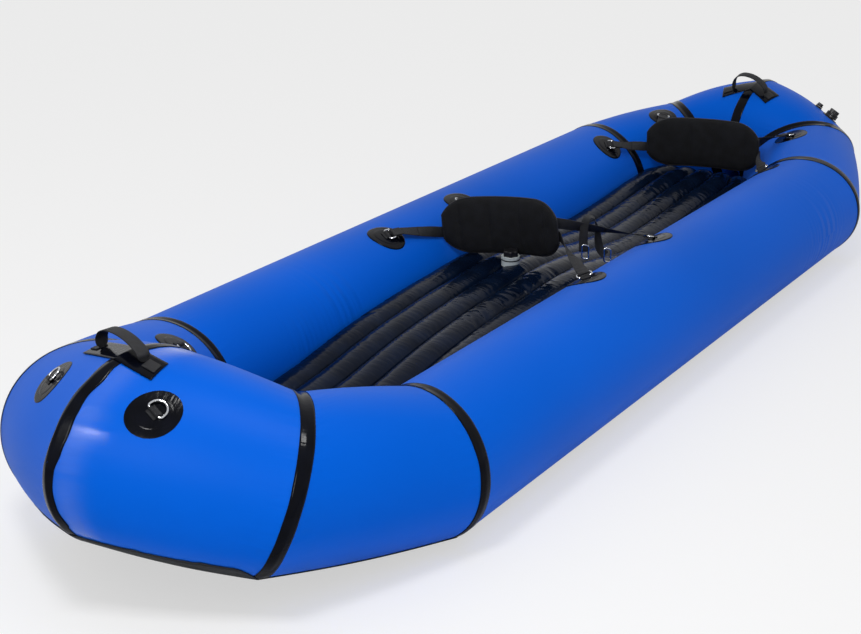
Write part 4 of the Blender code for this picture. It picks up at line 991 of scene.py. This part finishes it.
def puff_cover(piece, rest):
    """Blow the cover out a few millimetres, held still along its channels and its edge."""
    remesh = piece.modifiers.new("even_mesh", "REMESH")
    remesh.mode = "VOXEL"
    remesh.voxel_size = PUFF_MESH
    depsgraph = bpy.context.evaluated_depsgraph_get()
    even = bpy.data.meshes.new_from_object(piece.evaluated_get(depsgraph))
    piece.modifiers.clear()
    even.materials.clear()
    even.materials.append(pad_cover)
    piece.data = even
    held = piece.vertex_groups.new(name="held")
    for vert in even.vertices:
        from_middle = vert.co - rest.middle
        u = from_middle.dot(rest.across) / PAD_HALF_WIDTH
        v = from_middle.dot(rest.up) / pad_half_height(max(-1, min(1, u)))
        channel = min(abs(u - seam) for seam in PAD_CHANNELS) * PAD_HALF_WIDTH < PUFF_HELD_CHANNEL
        rim = abs(v) > PUFF_HELD_RIM or abs(u) > PUFF_HELD_END
        held.add([vert.index], 1.0 if channel or rim else 0.0, "REPLACE")
    cloth = piece.modifiers.new("cover", "CLOTH")
    cloth.settings.vertex_group_mass = "held"
    cloth.settings.use_pressure = True
    cloth.settings.uniform_pressure_force = PUFF_PRESSURE
    cloth.settings.tension_stiffness = 12
    cloth.settings.compression_stiffness = 6
    cloth.settings.bending_stiffness = 0.3
    cloth.settings.effector_weights.gravity = 0
    cloth.point_cache.frame_end = PUFF_STEPS
    for step in range(1, PUFF_STEPS + 1):
        scene.frame_set(step)
    depsgraph = bpy.context.evaluated_depsgraph_get()
    blown = bpy.data.meshes.new_from_object(piece.evaluated_get(depsgraph))
    piece.modifiers.clear()
    for before, after in zip(even.vertices, blown.vertices):
        move = after.co - before.co
        if move.length > PUFF_LIMIT:
            after.co = before.co + move * (PUFF_LIMIT / move.length)
    blown.shade_smooth()
    piece.data = blown
    scene.frame_set(1)


RESTS = (Backrest("front_seat", (-0.048, 0.010, 0.29415), 1.0, 7.6),
         Backrest("rear_seat", (0.001, 0.970, 0.26946), 11.0, 1.2))
for rest in RESTS:
    bm = spread_grid(72, 48, pad_spread(rest))
    close_ends(bm)
    bmesh.ops.recalc_face_normals(bm, faces=bm.faces)
    pad = finish_piece(f"{rest.name}_pad", bm, pad_cover, f"{rest.name}_backrest", f"{rest.name}_backrest")
    puff_cover(pad, rest)
    smoothing = pad.modifiers.new("smoothing", "SUBSURF")
    smoothing.levels = 1
    smoothing.render_levels = 1
    turns = [(k / 24 - 0.5) * math.pi for k in range(25)]
    outline = [(math.sin(turn), pad_half_height(math.sin(turn))) for turn in turns]
    outline += [(u, -h) for u, h in reversed(outline)]
    edge_points = [rest.line(u * 0.996, h * 0.998) - rest.middle for u, h in outline]
    flat_edge = [(point.dot(rest.across), point.dot(rest.up)) for point in edge_points]
    binding = wire(flat_edge, rest.middle, rest.across, rest.up, PAD_BINDING)
    for vert in binding.verts:
        u = (vert.co - rest.middle).dot(rest.across) / PAD_HALF_WIDTH
        vert.co -= rest.back * PAD_SAG * u * u
    finish_piece(f"{rest.name}_binding", binding, webbing, f"{rest.name}_backrest")


# Backrest straps
# Each pad hangs from two flat webbing straps sewn across its back. Each end turns round the far bar of a
# steel ring and is sewn back on itself.
STRAP_WIDTH = 0.025
STRAP_THICKNESS = 0.0016
EYE_LENGTH = 0.022
STRAP_LEAST_RISE_DEG = 13.0
STRAP_SPACING = STRAP_WIDTH / 2 + VALVE_GAP * 4
STRAP_STAND_OFF = 0.0009
STRAP_FREE_SHARES = (0.2, 0.4, 0.6, 0.8)
STRAP_STILL_SHARE = 0.4
STRAP_BACK_SHARES = (0.86, 0.72, 0.58, 0.44, 0.30, 0.15, 0.0, -0.15, -0.30, -0.44, -0.58, -0.72, -0.86)
STRAP_PLACES = {"front_seat": {"front": ("side_tube", 0.385, 111.0), "rear": ("side_tube", 0.563, 111.0)},
                "rear_seat": {"front": ("side_tube", 0.955, 124.0), "rear": ("stern_corner", 0.70, 109.0)}}


def smooth_path(knots, steps):
    """Points and width directions along a smooth line through the knots, evenly for each span."""
    path = []
    last = len(knots) - 1
    for k in range(last):
        before, start, stop, after = (knots[max(0, min(last, k + i))] for i in (-1, 0, 1, 2))
        for step in range(steps):
            t = step / steps
            point = (start[0] * 2 + (stop[0] - before[0]) * t
                     + (before[0] * 2 - start[0] * 5 + stop[0] * 4 - after[0]) * t * t
                     + (start[0] * 3 - before[0] - stop[0] * 3 + after[0]) * t ** 3) * 0.5
            path.append((point, start[1].lerp(stop[1], t).normalized(), start[2] + (stop[2] - start[2]) * t))
    path.append(knots[-1])
    return path


def ribbon(knots, thickness=STRAP_THICKNESS):
    """A webbing strip along a smooth line, its edges a little rounded."""
    path = smooth_path(knots, 4)
    lengths = [0.0]
    for (a, _, _), (b, _, _) in zip(path, path[1:]):
        lengths.append(lengths[-1] + (b - a).length)
    profile = [(-1, 0), (-0.985, 0.7), (-0.93, 1), (0, 1.04), (0.93, 1), (0.985, 0.7), (1, 0), (0.985, -0.7),
               (0.93, -1), (0, -1.04), (-0.93, -1), (-0.985, -0.7), (-1, 0)]

    def strip_spread(u, v):
        k = round(u * (len(path) - 1))
        point, across, narrow = path[k]
        ahead, behind = path[min(k + 1, len(path) - 1)][0], path[max(k - 1, 0)][0]
        tangent = (ahead - behind).normalized()
        side = (across - tangent * across.dot(tangent)).normalized()
        face = side.cross(tangent)
        out, lift = profile[round(v * (len(profile) - 1))]
        normal = side * out * 0.2 + face * lift
        return (point + side * out * STRAP_WIDTH / 2 * narrow + face * lift * thickness / 2, normal,
                (lengths[k], out * STRAP_WIDTH / 2 + (0.1 if lift < 0 else 0)))

    bm = spread_grid(len(path) - 1, len(profile) - 1, strip_spread)
    close_ends(bm)
    return bm


def strap_eye(bar_point, away, bar):
    """The webbing's sewn tail and its turn round the far bar of a ring."""
    face = bar.cross(away).normalized()
    radius = RING_WIRE + RING_PLAY + STRAP_THICKNESS / 2
    layer = (STRAP_THICKNESS + VALVE_GAP) / 2
    neck = away * radius * 2 + face * (layer + radius) / 2
    far = away * EYE_LENGTH + face * layer
    turns = [math.pi * k / 4 for k in range(5)]
    turn = [-face * radius * math.cos(angle) - away * radius * math.sin(angle) for angle in turns]
    tail = [away * EYE_LENGTH - face * layer, away * radius * 2 - face * (layer + radius) / 2]
    return [(bar_point + offset, bar, 1.0) for offset in tail + turn + [neck, far]]


class StrapEnd:
    """A patch on the tube, the ring in its tab and the direction in which the strap pulls."""

    def __init__(self, place, target):
        self.place = place
        self.centre = place.point + place.normal * BAR_HEIGHT
        pull = (target - self.centre).normalized()
        level = (pull - place.normal * pull.dot(place.normal)).normalized()
        rise = max(math.asin(pull.dot(place.normal)), math.radians(STRAP_LEAST_RISE_DEG))
        self.away = level * math.cos(rise) + place.normal * math.sin(rise)
        self.bar = place.normal.cross(level)
        self.ring_bar = self.centre + self.away * STRAP_RING_REACH


def strap_side(end, corner, up):
    knots = strap_eye(end.ring_bar, end.away, end.bar)
    start = knots[-1][0]
    for share in STRAP_FREE_SHARES:
        knots.append((start.lerp(corner, share), end.bar.lerp(up, share).normalized(), 1.0))
    return knots + [(corner, up, 1.0)]


def strap_line(rest, label):
    height = -STRAP_SPACING if label == "front" else STRAP_SPACING
    depth = (PAD_THICKNESS + STRAP_THICKNESS) / 2 + VALVE_GAP
    across = [rest.line(share, height, depth) for share in STRAP_BACK_SHARES]
    if label == "rear":
        return {1: across[0], -1: across[-1]}, across[1:-1]
    end_depth = (PAD_RIM + STRAP_THICKNESS) / 2 + STRAP_STAND_OFF
    clear = rest.across * (STRAP_THICKNESS + STRAP_STAND_OFF)
    return {side: rest.line(side, height, end_depth) + clear * side for side in (1, -1)}, across


for rest in RESTS:
    for label, spot in STRAP_PLACES[rest.name].items():
        corners, across = strap_line(rest, label)
        strap_name = f"{rest.name}_{label}_strap"
        for side_name, side in SIDES.items():
            end = StrapEnd(Place(*spot, side), corners[side])
            half_back = across[:len(across) // 2 + 1] if side == 1 else across[:len(across) // 2 - 1:-1]
            knots = strap_side(end, corners[side], rest.up) + [(point, rest.up, 1.0) for point in half_back]
            steady = [knots[0]]
            for point, width, share in knots[1:]:
                steady.append((point, width if width.dot(steady[-1][1]) >= 0 else -width, share))
            # The eye's piece and the pad's piece share this knot
            first_free = len(knots) - len(half_back) - 1 - len(STRAP_FREE_SHARES)
            still = first_free + STRAP_FREE_SHARES.index(STRAP_STILL_SHARE)
            name = f"{rest.name}_{label}_{side_name}"
            eye = finish_piece(f"{name}_strap_eye", ribbon(steady[:still + 1]), webbing, None, strap_name)
            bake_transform(eye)
            run = finish_piece(f"{name}_strap_run", ribbon(steady[still:]), webbing, None, strap_name)
            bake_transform(run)
            lay_patch(f"{name}_patch", end.place, end.bar)
            bm = wire(oblong_outline(), end.centre, end.bar, end.away)
            finish_piece(f"{name}_wire", bm, bent_steel, f"{name}_ring", f"{name}_ring")


# Strap tail
# The spare end of the front seat's rear strap, a loop of the same webbing thrown over the strap beside the
# pad, with a steel ring sewn into each of its ends.
TAIL_SHARE = 0.35
TAIL_CLEARANCE = 0.006
TAIL_NARROWED = 0.8
TAIL_RING_SINK = 0.2
rest = RESTS[0]
corner = strap_line(rest, "rear")[0][1]
end = StrapEnd(Place(*STRAP_PLACES["front_seat"]["rear"], 1), corner)
hang_at = corner.lerp(end.ring_bar, TAIL_SHARE)
pull = (end.ring_bar - corner).normalized()
front = pull.cross(UP).normalized()
if front.y > 0:
    front = -front
# Metres along the strap, up and towards the bow, with the way the webbing faces as shares along and forward
TAIL_KNOTS = ((-0.008, -0.056, 0.010, 1.0, 0.2), (-0.008, -0.034, 0.009, 1.0, 0.2),
              (-0.007, -0.006, 0.008, 0.9, 0.4), (-0.002, 0.018, 0.004, 0.6, 0.9),
              (0.008, 0.025, -0.002, 0.1, 1.0), (0.020, 0.020, -0.008, -0.2, 1.0),
              (0.028, -0.002, -0.012, 0.3, 0.8), (0.030, -0.026, -0.011, 0.6, 0.6),
              (0.034, -0.048, -0.006, 0.8, 0.4), (0.046, -0.060, 0.0, 0.9, 0.2))
knots = []
for along, height, forwards, face_along, face_forward in TAIL_KNOTS:
    point = hang_at + pull * along + UP * height + front * forwards
    point.z = max(point.z, floor_top(point.x, point.y) + TAIL_CLEARANCE)
    knots.append((point, (pull * face_along + front * face_forward).normalized(), TAIL_NARROWED))
finish_piece("strap_tail", ribbon(knots), webbing, "hull")
for label, knot in (("front", knots[0]), ("rear", knots[-1])):
    bm = wire(oblong_outline(), knot[0] - pull * STRAP_RING_REACH * TAIL_RING_SINK, UP, pull)
    finish_piece(f"strap_tail_{label}_ring", bm, bent_steel, "hull")


# Carry handles
# At each end a rectangular black patch bends over the centre seam, and a loop of webbing stands on it with
# its two ends sewn down flat.
HANDLE_PATCH_HALF_WIDTH = 0.029
HANDLE_PATCH_MARGIN = 0.004
HANDLE_PATCH_LIFT = 0.0017
HANDLE_PATCH_THICKNESS = 0.0012
HANDLE_FOOT_LENGTH = 0.026
HANDLE_THICKNESS = 0.0022
HANDLE_FOOT_GAP = 0.0008
HANDLE_FOOT_SHARE = 0.9
HANDLE_END_SHARES = (-1.0, -0.86, -0.5, 0.0)
HANDLE_END_NARROWEST = 0.17
# Each handle's place, half span, height and offset along its patch, and how far the patch's two arms bend
HANDLES = {"bow": (Place("bow_panel", 0.0, 89.0), 0.0715, 0.028, -0.028, (0.20, 0.50)),
           "stern": (Place("stern_panel", 1.0, 105.0), 0.056, 0.035, 0.0, (0.0, 0.0))}
ARCH = ((-0.97, 0.30), (-0.80, 0.72), (-0.50, 0.96), (-0.15, 1.0), (0.22, 0.90), (0.58, 0.66), (0.88, 0.30))

for prefix, (place, half_span, height, offset, sweeps) in HANDLES.items():
    def on_patch(u, v, lift):
        along = u + offset
        sweep = sweeps[1] if along > 0 else sweeps[0]
        return place.at(along, v - sweep * abs(along), lift)

    foot_in = half_span + HANDLE_THICKNESS
    foot_out = foot_in + HANDLE_FOOT_LENGTH
    reach = foot_out + HANDLE_PATCH_MARGIN

    def handle_patch_spread(u, v):
        along, around = (2 * u - 1) * reach, (2 * v - 1) * HANDLE_PATCH_HALF_WIDTH
        point, normal = on_patch(along, around, HANDLE_PATCH_LIFT)
        return point, normal, (along, around)

    bm = spread_grid(90, 12, handle_patch_spread)
    patch = finish_piece(f"{prefix}_handle_base", bm, seam_tape, "hull", f"{prefix}_handle_patch")
    thicken(patch, HANDLE_PATCH_THICKNESS)
    for end in (-1, 1):
        def foot_spread(u, v):
            along = end * (foot_in + (foot_out - foot_in) * u)
            around = (2 * v - 1) * STRAP_WIDTH / 2
            point, normal = on_patch(along, around, HANDLE_PATCH_LIFT + HANDLE_PATCH_THICKNESS)
            return point, normal, (along, around)

        name = f"{prefix}_handle_foot_{'a' if end < 0 else 'b'}"
        foot = finish_piece(name, spread_grid(16, 8, foot_spread), webbing, "hull")
        thicken(foot, HANDLE_THICKNESS * HANDLE_FOOT_SHARE)
    foot_lift = HANDLE_PATCH_LIFT + HANDLE_PATCH_THICKNESS
    feet = [on_patch(side * half_span, 0, foot_lift)[0] for side in (1, -1)]
    feet.sort(key=lambda point: point.x)
    axis = (feet[1] - feet[0]).normalized()
    depth = Vector((0, place.normal.y, place.normal.z)).cross(axis).normalized()
    upright = axis.cross(depth)
    middle = (feet[0] + feet[1]) / 2 + upright * (STRAP_WIDTH / 2 + HANDLE_FOOT_GAP)
    span = (feet[1] - feet[0]).length / 2

    def sewn_end(side):
        """The narrowed end of the loop where it stands on its foot."""
        foot_point = middle + axis * span * side
        return [(foot_point + upright * STRAP_WIDTH / 2 * share, depth,
                 max(HANDLE_END_NARROWEST, math.sqrt(1 - share * share))) for share in HANDLE_END_SHARES]

    knots = sewn_end(-1) + [(middle + axis * span * u + upright * height * v, depth, 1.0) for u, v in ARCH]
    knots += reversed(sewn_end(1))
    finish_piece(f"{prefix}_handle_loop", ribbon(knots, HANDLE_THICKNESS), webbing, f"{prefix}_handle",
                 f"{prefix}_handle")

bpy.context.view_layer.update()
